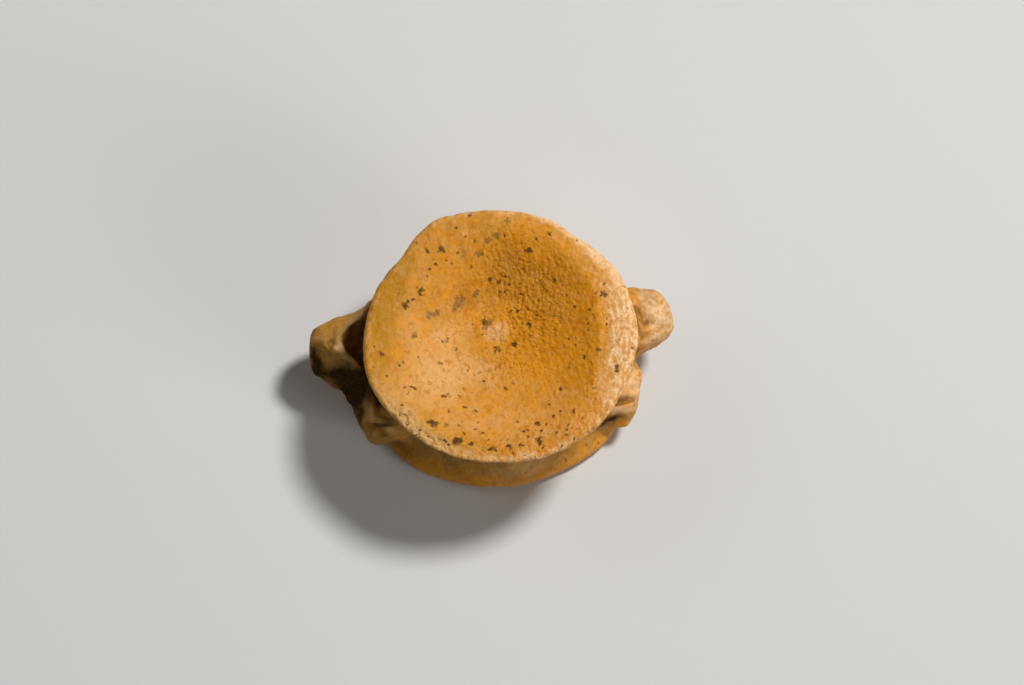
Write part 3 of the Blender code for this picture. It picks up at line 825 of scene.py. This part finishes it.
def blobField(centres, sizes, soft, seed):
    # 1 inside a blob and 0 outside it, where the softness is the share of a blob's radius
    # over which it fades
    random = np.random.default_rng(seed)
    field = np.zeros(grid.shape[:2])
    full, lost = speckShape["taper"]
    share, margin = speckShape["spare"]
    for (i, j), size in zip(centres, sizes):
        count = random.integers(*speckShape["blobs"])
        arms = random.uniform(0.0, 2.0 * np.pi, random.integers(*speckShape["arms"]))
        reach = np.concatenate([[0.0], random.uniform(*speckShape["armReach"], count)])
        turn = random.choice(arms, count + 1) + random.normal(0.0, speckShape["armBend"], count + 1)
        radius = random.uniform(*speckShape["blobSizes"], count + 1) * (full - lost * reach)
        depth = random.uniform(*speckShape["depths"], count + 1)
        normal = normals[i, j]
        first = np.cross(normal, speckShape["aside"])
        first /= np.linalg.norm(first)
        second = np.cross(normal, first)
        off = grid - grid[i, j]
        near = np.linalg.norm(off, axis=-1) < share * size + margin
        across = (off[near] @ first + jitter[0][near])[:, None] - size * reach * np.cos(turn)
        along = (off[near] @ second + jitter[1][near])[:, None] - size * reach * np.sin(turn)
        distance = np.hypot(across, along) / np.maximum(radius * size, speckShape["least"])
        marks = depth * ease((1.0 + 0.5 * soft - distance) / soft)
        field[near] = np.maximum(field[near], marks.max(axis=1))
    return field


def nearestVertex(at):
    off = np.linalg.norm(pixels - np.array(at), axis=-1) + np.where(nearFace > 0.5, 0.0, 1e6)
    return np.unravel_index(np.argmin(off), off.shape)


def scatterDots():
    # the near face's small dots gather along its lower edge and its upper left
    random = np.random.default_rng(speckShape["seed"])
    step = np.roll(grid, -1, axis=0) - grid
    area = np.linalg.norm(np.cross(step, np.gradient(grid, axis=1)), axis=-1)
    zones = spotsOf(pixels, speckShape["dotZones"], speckShape["dotChance"])
    chances = {"nearFaceDots": area * nearFace * zones, "sideDots": area * (1.0 - nearFace)}
    centres = []
    for name, chance in chances.items():
        share = (chance / chance.sum()).ravel()
        picked = random.choice(chance.size, speckShape[name], replace=False, p=share)
        centres += [np.unravel_index(one, chance.shape) for one in picked]
    return centres, list(random.uniform(*speckShape["dotSizes"], len(centres)))


def marksOf(named, extraCentres, extraSizes, soft, seed):
    marks = [mark for group in named.values() for mark in group]
    centres = [nearestVertex(mark[:2]) for mark in marks] + extraCentres
    sizes = [mark[2] / camera["pixelsPerMm"] for mark in marks] + extraSizes
    print("marks:", len(centres))
    return blobField(centres, sizes, soft, seed)


jitter = [withNoise(0.0, [speckShape["jitter"]], axis) for axis in range(2)]
dotCentres, dotSizes = scatterDots()
speck = marksOf(specks, dotCentres, dotSizes, speckShape["soft"]["specks"], speckShape["seed"] + 1)
smear = marksOf(smears, [], [], speckShape["soft"]["smears"], speckShape["seed"] + 2)

# Tones of the side: pale on the right processes, partly wear and partly painted light where they face the
# lamps, and olive on the left, partly painted shade, each by its bearing, spread and strength, pale along
# the crest of the lower rim, and darker brown in hollows
sideTones = {
    "paleTips": (-4.0, 30.0, 0.5),
    "olive": (216.0, 56.0, 1.2),
    "lamellae": 0.5,  # how pale the thin lines of the rim are
    "lowerCrest": (0.42, 0.28, 0.35),  # stations before the side, spread, strength
    "crestStations": (0.8, 2.4),
    "whiteTip": (12.0, 9.0, 0.35),
    "whiteFrom": (0.7, 0.3),  # share of a tip where it starts, and over how much it grows
    "facing": (0.35, 0.5),  # spots fade on skin turned this far from the camera, and over
    "hollowSteps": (4, 9),  # grid steps to the neighbours
    "hollows": (0.004, 0.04),  # where the darker brown starts, and over how much it grows
    "roughShares": (0.3, 0.7),  # grain everywhere, and more where the skin is rough
    "pitShares": (0.2, 0.8),
}

# Spots of the side: place in picture pixels, half sizes, turn, strength. The dark ones are painted shade;
# the beige, pale and striated ones are painted light
sideStainsAndPaintedLight = {
    "dark": {
        # painted shade: shadow under and beside the processes, in the band of the lower right process and on
        # the left of the far rim
        "flank under the process": ((356, 388), 17, 17, 30, 1.2),
        "lower flank": ((349, 404), 8, 12, 0, 0.8),
        "under side of the process": ((336, 374), 24, 8, 0, 1.0),
        "outer edge of the process": ((316, 362), 7, 17, 0, 1.3),
        "outer side of the lower process": ((359, 418), 4, 14, 0, 0.8),
        "beside the saddle": ((378, 407), 3.5, 9, -20, 0.8),
        "between its bands": ((388, 421), 10, 2.2, -18, 0.8),
        "under its bands": ((387, 434), 8, 2.2, -20, 0.6),
        "notch of the process": ((331, 349), 1.6, 4.5, -20, 0.7),
        "under the rim": ((378, 394), 8, 12, 20, 0.6),
        "band of the lower right process": ((610, 420), 16, 5, 25, 1.1),
        "far rim, left": ((402, 453), 26, 9, -36, 0.6),
        "far rim, bottom left": ((446, 471), 34, 8, -18, 0.5),
    },
    "beige": {
        # painted light: the lit tops of the saddle, bands and knob, the pocket and the process ridge lifted
        # out of shade, and the lit far rim
        "saddle": ((368, 411), 5, 13, 10, 0.7),
        "bands": ((386, 427.5), 12, 3.0, -16, 1.2),
        "knob": ((376, 435), 3.5, 3, 0, 0.6),
        "pocket": ((352, 333), 11, 20, -26, 1.2),
        "ridge of the process": ((341, 348), 9, 6, -30, 1.0),
        "far rim": ((532, 471), 54, 12, 10, 0.9),
    },
    "pale": {
        # painted light, partly pale wear: the lit lobe, the bright band and the lit faces of the right
        # processes
        "lobe of the left process": ((343, 350), 6, 4, -30, 0.7),
        "lower right process": ((633, 386), 12, 20, 0, 0.9),
        "its bright band": ((623, 411), 12, 3, 10, 1.3),
        "low side of the right process": ((655, 336), 14, 8, 35, 0.7),
        "tip of the right process": ((659, 312), 10, 11, 0, 0.9),
    },
    "ochre": {
        "far rim, right": ((576, 462), 50, 14, 25, 0.7),
    },
    "darkBrown": {
        # darker brown on the right process, and painted shade in the groove of the lower right process
        "root of the right process": ((639, 330), 3, 14, 0, 0.3),
        "top of the right process": ((650, 294), 13, 3, -14, 0.2),
        "groove": ((620, 404), 9, 2.5, 15, 0.9),
    },
    # painted light: the darker brown is taken out of the pocket so that it stays light
    "litPocket": {"pocket": ((353, 331), 13, 24, -26, 1.1)},
    # painted light: pale streaks for the lit struts of the pocket
    "striated": {"pocket": ((360, 322), 8, 22, -26, 1.2)},
}

crestAt, crestSpread, crestStrength = sideTones["lowerCrest"]
crestStart, crestEnd = sideTones["crestStations"]
beforeSide = 2.0 - np.clip(station, 1.0, 2.0)
lowerCrest = np.exp(-(((beforeSide - crestAt) / crestSpread) ** 2))
lowerCrest = lowerCrest * (station < crestEnd) * (station > crestStart)
lean, fade = sideTones["facing"]
facing = ease((normals @ cameraAxes()[2] + lean) / fade)
halfWarped = 0.5 * (warped + pixels)


def sideTone(name):
    # the sum of its spots, at most 1, where the side faces the camera or nearly so
    return np.clip(spotsOf(halfWarped, sideStainsAndPaintedLight[name]), 0.0, 1.0) * side * facing


def bearingTone(name):
    bearing, spread, strength = sideTones[name]
    return bump(bearings, bearing, spread), strength


def hollowness():
    # how far a point lies below the mean of its neighbours a few steps away, as a share
    total = 0.0
    for step in sideTones["hollowSteps"]:
        ring = np.roll(grid, step, axis=0) + np.roll(grid, -step, axis=0)
        rows = np.pad(grid, ((0, 0), (step, step), (0, 0)), mode="edge")
        ring = ring + rows[:, : grid.shape[1]] + rows[:, 2 * step :]
        total = total + ((0.25 * ring - grid) * normals).sum(axis=-1) / step
    return total


# pale on the right processes' tips and white on the right upper tip: partly wear, partly painted light on
# the lit side
tipTone, tipStrength = bearingTone("paleTips")
pale = tones["pale"] + sideTones["lamellae"] * lamella + crestStrength * lowerCrest
pale = np.clip(pale + tipStrength * tips * tipTone, 0.0, 1.0)
# olive on the left side: partly its own tone, partly painted shade
oliveTone, oliveStrength = bearingTone("olive")
whiteTone, whiteStrength = bearingTone("whiteTip")
start, width = sideTones["whiteFrom"]
white = lamella + whiteStrength * ease((tips - start) / width) * whiteTone
plainGrain, roughGrain = sideTones["roughShares"]
plainPits, roughPits = sideTones["pitShares"]
normals = normalsOf(grid)
start, width = sideTones["hollows"]
darkBrown = np.maximum(ease((hollowness() - start) / width) * side, sideTone("darkBrown"))
fields = {
    "white": np.clip(white, 0.0, 1.0),
    "ochre": np.maximum(tones["ochre"], sideTone("ochre")),
    "brown": tones["brown"],
    "rosy": tones["rosy"],
    "yellow": tones["yellow"],
    "olive": oliveStrength * oliveTone * side,
    "beige": np.maximum(tones["beige"], sideTone("beige")),
    "pale": np.maximum(pale, sideTone("pale")),
    "dotty": tones["dotty"],
    "rough": plainGrain + roughGrain * rough,
    "pit": pits * (plainPits + roughPits * rough) * nearFace,
    "darkBrown": darkBrown * (1.0 - sideTone("litPocket")),
    "dark": sideTone("dark"),
    "side": side,
    "striated": sideTone("striated"),
    "speck": speck,
    "smear": smear,
}
print("masks done")


# The bake's own map, as shares of its side: the skin's middle and half size, the lid's
bakeMap = {"middle": 0.5, "half": 0.485, "lidMiddle": 0.02, "lidHalf": 0.012}


def skinPiece(name, rings, ringNormals, ends, lidFirst, marks):
    # quads between the rings, a fan to each end's point, and one mesh value a vertex for
    # each mark. One of the two fans is the hidden lid between the pieces.
    around, rows = rings.shape[:2]
    points = np.concatenate([rings.reshape(-1, 3), ends]) * mm
    here = np.arange(around)[:, None] * rows
    beside = np.roll(here, -1, axis=0)
    row = np.arange(rows - 1)[None, :]
    quads = np.stack([here + row, beside + row, beside + row + 1, here + row + 1], axis=-1)
    here, beside = here[:, 0], beside[:, 0]
    pole = np.full(around, around * rows)
    firstFan = np.stack([pole, beside, here], axis=-1)
    lastFan = np.stack([pole + 1, here + rows - 1, beside + rows - 1], axis=-1)
    corners = np.concatenate([quads.ravel(), firstFan.ravel(), lastFan.ravel()])
    counts = np.concatenate([np.full(quads.shape[0] * quads.shape[1], 4), np.full(2 * around, 3)])
    mesh = bpy.data.meshes.new(name)
    mesh.vertices.add(len(points))
    mesh.vertices.foreach_set("co", points.ravel())
    mesh.loops.add(len(corners))
    mesh.loops.foreach_set("vertex_index", corners)
    mesh.polygons.add(len(counts))
    mesh.polygons.foreach_set("loop_start", np.concatenate([[0], np.cumsum(counts)[:-1]]))
    mesh.update(calc_edges=True)
    for mark, values in marks.items():
        layer = mesh.attributes.new(mark, "FLOAT", "POINT")
        edges = [values[:, 0].mean(), values[:, -1].mean()]
        flat = np.concatenate([values.ravel(), edges])
        layer.data.foreach_set("value", flat.astype(np.float32))

    # the bake's own map: the skin rolled out flat round its pole, and its lid in a corner
    steps = np.linalg.norm(np.diff(rings, axis=1), axis=2)
    if lidFirst:
        steps = steps[:, ::-1]
    run = np.concatenate([np.full((around, 1), steps[:, 0].mean()), steps], axis=1).cumsum(axis=1)
    if lidFirst:
        run = run[:, ::-1]
    turn = np.radians(bearings)
    flat = np.stack([run * np.cos(turn), run * np.sin(turn)], axis=-1) / run.max()
    flat = np.concatenate([flat.reshape(-1, 2), np.zeros((2, 2))])
    spread = bakeMap["middle"] + bakeMap["half"] * flat[corners]
    lidLoops = slice(-6 * around, -3 * around) if lidFirst else slice(-3 * around, None)
    lidRing = flat[corners[lidLoops]]
    lidRing = lidRing / np.maximum(np.linalg.norm(lidRing, axis=1, keepdims=True), 1e-9)
    lidRing = bakeMap["lidHalf"] * lidRing * np.tile([0.0, 1.0, 1.0], around)[:, None]
    spread[lidLoops] = bakeMap["lidMiddle"] + lidRing
    mesh.uv_layers.new(name="OFBake").data.foreach_set("uv", spread.ravel())
    mesh.validate()
    mesh.shade_smooth()

    # the whole skin's normals, so that no line shows where the two pieces meet
    outward = np.concatenate([ringNormals.reshape(-1, 3), [[0.0, 0.0, -1.0], [0.0, 0.0, 1.0]]])
    mesh.normals_split_custom_set_from_vertices(outward.tolist())
    piece = bpy.data.objects.new(name, mesh)
    bpy.context.scene.collection.objects.link(piece)
    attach(piece, "root")
    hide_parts("vertebra")
    print(name + ":", len(mesh.polygons), "faces")
    return piece


# The skin is placed over the frame's own solid: the middle of its box goes to the middle of
# the solid's, and its lowest point onto the floor
low, high = grid.reshape(-1, 3).min(axis=0), grid.reshape(-1, 3).max(axis=0)
solidLow, solidHigh = (np.array(corner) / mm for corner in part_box("vertebra"))
shift = 0.5 * (solidLow + solidHigh) - 0.5 * (low + high)
shift[2] = 0.0
grid = grid + shift
grid[..., 2] = np.maximum(grid[..., 2], 0.0)
print("shift", shift.round(3))

seam = sum(bone["rows"][name] for name in ("lower dish", "lower rim", "side"))
lidPoint = shift + np.array([0.0, 0.0, bone["lidHeight"]])


def cutPiece(name, first, last, ends, lidFirst):
    marks = {mark: values[:, first:last] for mark, values in fields.items()}
    rings = grid[:, first:last]
    return skinPiece(name, rings, normals[:, first:last], ends, lidFirst, marks)


pieces = [
    cutPiece("bodySkin", 1, seam + 1, np.array([grid[0, 0], lidPoint]), False),
    cutPiece("nearFaceSkin", seam, grid.shape[1] - 1, np.array([lidPoint, grid[0, -1]]), True),
]

# Colours of the bone, as linear values
colors = {
    "honey": (0.58, 0.248, 0.026, 1.0),
    "peach": (0.64, 0.298, 0.068, 1.0),
    "deepOchre": (0.70, 0.265, 0.002, 1.0),
    "brownOchre": (0.42, 0.150, 0.002, 1.0),
    "rosyCream": (0.78, 0.41, 0.150, 1.0),
    "yellowBrown": (0.42, 0.180, 0.002, 1.0),
    "olive": (0.36, 0.180, 0.030, 1.0),
    "beige": (0.67, 0.43, 0.18, 1.0),
    "paleRim": (0.88, 0.56, 0.28, 1.0),
    "whitePink": (0.92, 0.70, 0.47, 1.0),
    "rust": (0.50, 0.165, 0.006, 1.0),
    "orangeDots": (0.60, 0.20, 0.010, 1.0),
    "oliveGrain": (0.28, 0.120, 0.007, 1.0),
    "paleGrain": (0.86, 0.46, 0.15, 1.0),
    "goldGrain": (0.78, 0.34, 0.020, 1.0),
    "deepBrown": (0.14, 0.07, 0.012, 1.0),
    # painted shade, as a colour
    "paintedShadeBrown": (0.040, 0.017, 0.002, 1.0),
    "mineral": (0.110, 0.046, 0.007, 1.0),
    "greyMineral": (0.17, 0.092, 0.030, 1.0),
}

# Streaks drawn out along the up direction of the picture, and those of the pocket, which
# lean to the right of it: stretch and lean in degrees
upward = cameraAxes()[1]
upTurn = float(np.arctan2(-upward[0], upward[1]))
streaks = {"face": (2.4, 0.0), "pocket": (7.0, 26.0)}

# Soft patches, which carry a colour or break one up: scale, detail, the noise between which
# they come up, and the streaks that they follow
patchShapes = {
    "broad": (330.0, 3.0, 0.40, 0.60, None),
    "middling": (900.0, 4.0, 0.38, 0.62, None),
    "mottled": (760.0, 4.0, 0.47, 0.57, None),
    "small": (2600.0, 3.0, 0.40, 0.60, None),
    "tiny": (5200.0, 2.0, 0.42, 0.60, None),
    "speckled": (2300.0, 3.0, 0.53, 0.64, None),
    "streaky": (2100.0, 3.0, 0.50, 0.62, "face"),
    "lighter": (2600.0, 3.0, 0.52, 0.64, "face"),
    "speckles": (3400.0, 4.0, 0.42, 0.55, "face"),
    "weathered": (760.0, 4.0, 0.42, 0.60, None),
    "striations": (3600.0, 2.0, 0.46, 0.54, "pocket"),
}

# Round dots: scale, inner and outer radius, and the mask that allows them
dotShapes = {"grainDots": (3300.0, 0.08, 0.36, "rough"), "rimDots": (2900.0, 0.05, 0.42, "dotty")}

# The ground colour, and those laid over it in turn: colour, where it lies (patches, dots or
# a mask of the skin), the patches that break it up, by how much, and its amount
ground = "honey"
layers = [
    ("peach", "broad", "middling", 0.5, 0.7),
    ("deepOchre", "mottled", "small", 0.5, 0.75),
    ("deepOchre", "ochre", "middling", 0.25, 1.15),
    ("brownOchre", "brown", "small", 0.35, 1.0),
    ("rosyCream", "rosy", "middling", 0.25, 1.0),
    ("yellowBrown", "yellow", "middling", 0.30, 1.1),
    ("rust", "streaky", "broad", 0.6, 0.38),
    ("rosyCream", "lighter", "mottled", 0.6, 0.22),
    # olive: partly painted shade on the left side
    ("olive", "olive", "middling", 0.25, 1.1),
    # beige: the near rim's own tone, and painted light on the side
    ("beige", "beige", "small", 0.25, 1.1),
    ("deepBrown", "side", "weathered", 1.0, 0.35),
    # pale: worn rims and tips, and painted highlight on lit rim edges and process faces
    ("paleRim", "pale", "small", 0.25, 1.1),
    ("whitePink", "white", "small", 0.20, 1.0),
    ("rust", "speckled", "middling", 0.5, 0.6),
    ("orangeDots", "dotty", "speckles", 1.0, 0.7),
    ("paleGrain", "tiny", "speckled", 0.8, 0.12),
    ("goldGrain", "rough", "tiny", 1.0, 0.3),
    ("oliveGrain", "pit", "tiny", 0.30, 0.8),
    ("oliveGrain", "grainDots", "tiny", 0.3, 0.45),
    ("orangeDots", "rimDots", "small", 0.4, 0.8),
    # darker brown in hollows, and painted shade in the groove
    ("deepBrown", "darkBrown", "small", 0.35, 0.8),
    # painted light: pale streaks on the pocket's struts
    ("beige", "striated", "striations", 1.0, 0.7),
    # painted shade on the side
    ("paintedShadeBrown", "dark", "small", 0.15, 1.1),
    ("greyMineral", "smear", "tiny", 0.28, 1.0),
    ("mineral", "speck", "tiny", 0.22, 1.3),
]

# Fine grain as height for the bump, and the sheen, which is dulled where the painted shade lies
finish = {
    "grain": {"Scale": 4600.0, "Detail": 4.0, "Roughness": 0.6},
    "bump": {"Strength": 0.95, "Distance": 0.00022},
    "roughness": 0.55,
    "sheen": {"To Min": 0.11, "To Max": 0.02},
}


def addNode(tree, kind, **values):
    made = tree.nodes.new(kind)
    for name, value in values.items():
        setattr(made, name, value)
    return made


def setInputs(node, values):
    for name, value in values.items():
        node.inputs[name].default_value = value


def newGroup(name, inputs, output):
    # an empty node group with its named sockets
    group = bpy.data.node_groups.new(name, "ShaderNodeTree")
    for label, kind, value in inputs:
        socket = group.interface.new_socket(label, in_out="INPUT", socket_type="NodeSocket" + kind)
        if value is not None:
            socket.default_value = value
    group.interface.new_socket(output[0], in_out="OUTPUT", socket_type="NodeSocket" + output[1])
    return group, addNode(group, "NodeGroupInput"), addNode(group, "NodeGroupOutput")


def mottleGroup():
    # soft patches: noise at a scale, spread between a low and a high value
    inputs = (
        ("Vector", "Vector", None),
        ("Scale", "Float", 1000.0),
        ("Detail", "Float", 3.0),
        ("Low", "Float", 0.4),
        ("High", "Float", 0.6),
    )
    group, start, end = newGroup("mottle", inputs, ("Mask", "Float"))
    noise = addNode(group, "ShaderNodeTexNoise")
    spread = addNode(group, "ShaderNodeMapRange", interpolation_type="SMOOTHSTEP")
    for name in ("Vector", "Scale", "Detail"):
        group.links.new(start.outputs[name], noise.inputs[name])
    group.links.new(noise.outputs["Fac"], spread.inputs["Value"])
    group.links.new(start.outputs["Low"], spread.inputs["From Min"])
    group.links.new(start.outputs["High"], spread.inputs["From Max"])
    group.links.new(spread.outputs["Result"], end.inputs["Mask"])
    return group


def dotsGroup():
    # small round dots: 1 near the middles of random cells, where the mask allows them
    inputs = (
        ("Vector", "Vector", None),
        ("Scale", "Float", 1000.0),
        ("Inner", "Float", 0.15),
        ("Outer", "Float", 0.35),
        ("Mask", "Float", 1.0),
    )
    group, start, end = newGroup("dots", inputs, ("Mask", "Float"))
    cells = addNode(group, "ShaderNodeTexVoronoi")
    spread = addNode(group, "ShaderNodeMapRange", interpolation_type="SMOOTHSTEP")
    setInputs(spread, {"To Min": 1.0, "To Max": 0.0})
    both = addNode(group, "ShaderNodeMath", operation="MULTIPLY", use_clamp=True)
    for name in ("Vector", "Scale"):
        group.links.new(start.outputs[name], cells.inputs[name])
    group.links.new(cells.outputs["Distance"], spread.inputs["Value"])
    group.links.new(start.outputs["Inner"], spread.inputs["From Min"])
    group.links.new(start.outputs["Outer"], spread.inputs["From Max"])
    group.links.new(spread.outputs["Result"], both.inputs[0])
    group.links.new(start.outputs["Mask"], both.inputs[1])
    group.links.new(both.outputs[0], end.inputs["Mask"])
    return group


def stainGroup():
    # lays one colour over another where a mask, broken up by patches, says so
    inputs = (
        ("Under", "Color", None),
        ("Over", "Color", None),
        ("Mask", "Float", 0.0),
        ("Patches", "Float", 0.5),
        ("Breakup", "Float", 0.5),
        ("Amount", "Float", 1.0),
    )
    group, start, end = newGroup("stain", inputs, ("Color", "Color"))
    less = addNode(group, "ShaderNodeMath", operation="MULTIPLY")
    kept = addNode(group, "ShaderNodeMath", operation="SUBTRACT", use_clamp=True)
    scaled = addNode(group, "ShaderNodeMath", operation="MULTIPLY", use_clamp=True)
    mix = addNode(group, "ShaderNodeMix", data_type="RGBA")
    group.links.new(start.outputs["Patches"], less.inputs[0])
    group.links.new(start.outputs["Breakup"], less.inputs[1])
    group.links.new(start.outputs["Mask"], kept.inputs[0])
    group.links.new(less.outputs[0], kept.inputs[1])
    group.links.new(kept.outputs[0], scaled.inputs[0])
    group.links.new(start.outputs["Amount"], scaled.inputs[1])
    group.links.new(scaled.outputs[0], mix.inputs["Factor"])
    group.links.new(start.outputs["Under"], mix.inputs["A"])
    group.links.new(start.outputs["Over"], mix.inputs["B"])
    group.links.new(mix.outputs["Result"], end.inputs["Color"])
    return group


def boneMaterial():
    made = bpy.data.materials.new("fossilBone")
    made.use_nodes = True
    tree = made.node_tree
    shader = tree.nodes["Principled BSDF"]
    where = addNode(tree, "ShaderNodeTexCoord").outputs["Object"]
    groups = {"mottle": mottleGroup(), "stain": stainGroup(), "dots": dotsGroup()}

    def field(name):
        return addNode(tree, "ShaderNodeAttribute", attribute_name=name).outputs["Fac"]

    def drawnOut(stretch, lean):
        node = addNode(tree, "ShaderNodeMapping", vector_type="TEXTURE")
        node.inputs["Rotation"].default_value[2] = upTurn - np.radians(lean)
        node.inputs["Scale"].default_value[1] = stretch
        tree.links.new(where, node.inputs["Vector"])
        return node.outputs["Vector"]

    vectors = {name: drawnOut(*shape) for name, shape in streaks.items()}

    def patches(scale, detail, lowest, highest, followed):
        node = addNode(tree, "ShaderNodeGroup", node_tree=groups["mottle"])
        setInputs(node, {"Scale": scale, "Detail": detail, "Low": lowest, "High": highest})
        tree.links.new(vectors.get(followed, where), node.inputs["Vector"])
        return node.outputs["Mask"]

    def dotted(scale, inner, outer, mask):
        node = addNode(tree, "ShaderNodeGroup", node_tree=groups["dots"])
        setInputs(node, {"Scale": scale, "Inner": inner, "Outer": outer})
        tree.links.new(where, node.inputs["Vector"])
        tree.links.new(field(mask), node.inputs["Mask"])
        return node.outputs["Mask"]

    masks = {name: patches(*shape) for name, shape in patchShapes.items()}
    masks.update({name: dotted(*shape) for name, shape in dotShapes.items()})
    color = None
    for over, mask, broken, breakup, amount in layers:
        node = addNode(tree, "ShaderNodeGroup", node_tree=groups["stain"])
        setInputs(node, {"Over": colors[over], "Breakup": breakup, "Amount": amount})
        if color is None:
            setInputs(node, {"Under": colors[ground]})
        else:
            tree.links.new(color, node.inputs["Under"])
        tree.links.new(masks[mask] if mask in masks else field(mask), node.inputs["Mask"])
        tree.links.new(masks[broken], node.inputs["Patches"])
        color = node.outputs["Color"]
    tree.links.new(color, shader.inputs["Base Color"])

    grain = addNode(tree, "ShaderNodeTexNoise")
    setInputs(grain, finish["grain"])
    tree.links.new(where, grain.inputs["Vector"])
    scaled = addNode(tree, "ShaderNodeMath", operation="MULTIPLY")
    tree.links.new(grain.outputs["Fac"], scaled.inputs[0])
    tree.links.new(field("rough"), scaled.inputs[1])
    bumpNode = addNode(tree, "ShaderNodeBump")
    setInputs(bumpNode, finish["bump"])
    tree.links.new(scaled.outputs[0], bumpNode.inputs["Height"])
    tree.links.new(bumpNode.outputs["Normal"], shader.inputs["Normal"])
    # less sheen where the painted shade lies
    sheen = addNode(tree, "ShaderNodeMapRange")
    setInputs(sheen, finish["sheen"])
    tree.links.new(field("dark"), sheen.inputs["Value"])
    tree.links.new(sheen.outputs["Result"], shader.inputs["Specular IOR Level"])
    setInputs(shader, {"Roughness": finish["roughness"]})
    return made


material = boneMaterial()
for piece in pieces:
    piece.data.materials.append(material)
print("material done")

# The pale floor, the soft lights and the camera. A light's direction is in the camera's
# axes: right, up and back.
studio = {
    "floorSize": 1.6,
    "floor": {"Base Color": (0.66, 0.65, 0.63, 1.0), "Roughness": 0.9},
    "key": {"toward": (0.46, 0.58, 0.82), "distance": 0.55, "size": 0.10, "power": 2.65},
    "fill": {"toward": (-0.60, 0.45, 0.60), "distance": 0.8, "size": 0.4, "power": 0.65},
    "side": {"toward": (0.80, -0.42, 0.42), "distance": 0.7, "size": 0.35, "power": 1.45},
    "world": {"Color": (1.0, 0.98, 0.94, 1.0), "Strength": 0.06},
}


def makeFloor():
    half = 0.5 * studio["floorSize"]
    corners = [(-half, -half, 0), (half, -half, 0), (half, half, 0), (-half, half, 0)]
    mesh = bpy.data.meshes.new("floor")
    mesh.from_pydata(corners, [], [(0, 1, 2, 3)])
    floor = bpy.data.objects.new("floor", mesh)
    bpy.context.scene.collection.objects.link(floor)
    paper = bpy.data.materials.new("floorPaper")
    paper.use_nodes = True
    setInputs(paper.node_tree.nodes["Principled BSDF"], studio["floor"])
    mesh.materials.append(paper)


def makeLight(name, size):
    # an area light off the near end's middle, along a direction in the camera's axes
    axes = np.stack(cameraAxes())
    toward = np.array(size["toward"]) @ axes
    toward = Vector(toward / np.linalg.norm(toward))
    lamp = bpy.data.lights.new(name, "AREA")
    lamp.shape = "DISK"
    lamp.size = size["size"]
    lamp.energy = size["power"]
    obj = bpy.data.objects.new(name, lamp)
    obj.location = Vector((0.0, 0.0, bone["length"] * mm)) + toward * size["distance"]
    obj.rotation_euler = toward.to_track_quat("Z", "Y").to_euler()
    bpy.context.scene.collection.objects.link(obj)


def makeCamera():
    right, up, back = (Vector(axis) for axis in cameraAxes())
    scale = mm / camera["pixelsPerMm"]
    across = (camera["pictureMiddle"][0] - camera["nearEndMiddle"][0]) * scale
    down = (camera["pictureMiddle"][1] - camera["nearEndMiddle"][1]) * scale
    middle = Vector((shift[0], shift[1], bone["length"])) * mm
    data = bpy.data.cameras.new("camera")
    data.sensor_width = camera["sensor"]
    data.lens = camera["sensor"] * camera["pixelsPerMm"] * camera["distance"] / camera["pictureWidth"]
    data.clip_start, data.clip_end = camera["clip"]
    obj = bpy.data.objects.new("camera", data)
    turn = Matrix((right, up, back)).transposed()
    eye = middle + right * across - up * down + back * camera["distance"] * mm
    obj.matrix_world = Matrix.Translation(eye) @ turn.to_4x4()
    bpy.context.scene.collection.objects.link(obj)
    bpy.context.scene.camera = obj


makeFloor()
for name in ("key", "fill", "side"):
    makeLight(name, studio[name])
world = bpy.data.worlds.new("studio")
world.use_nodes = True
setInputs(world.node_tree.nodes["Background"], studio["world"])
bpy.context.scene.world = world
bpy.context.scene.view_settings.view_transform = "Standard"
makeCamera()
print("studio done")
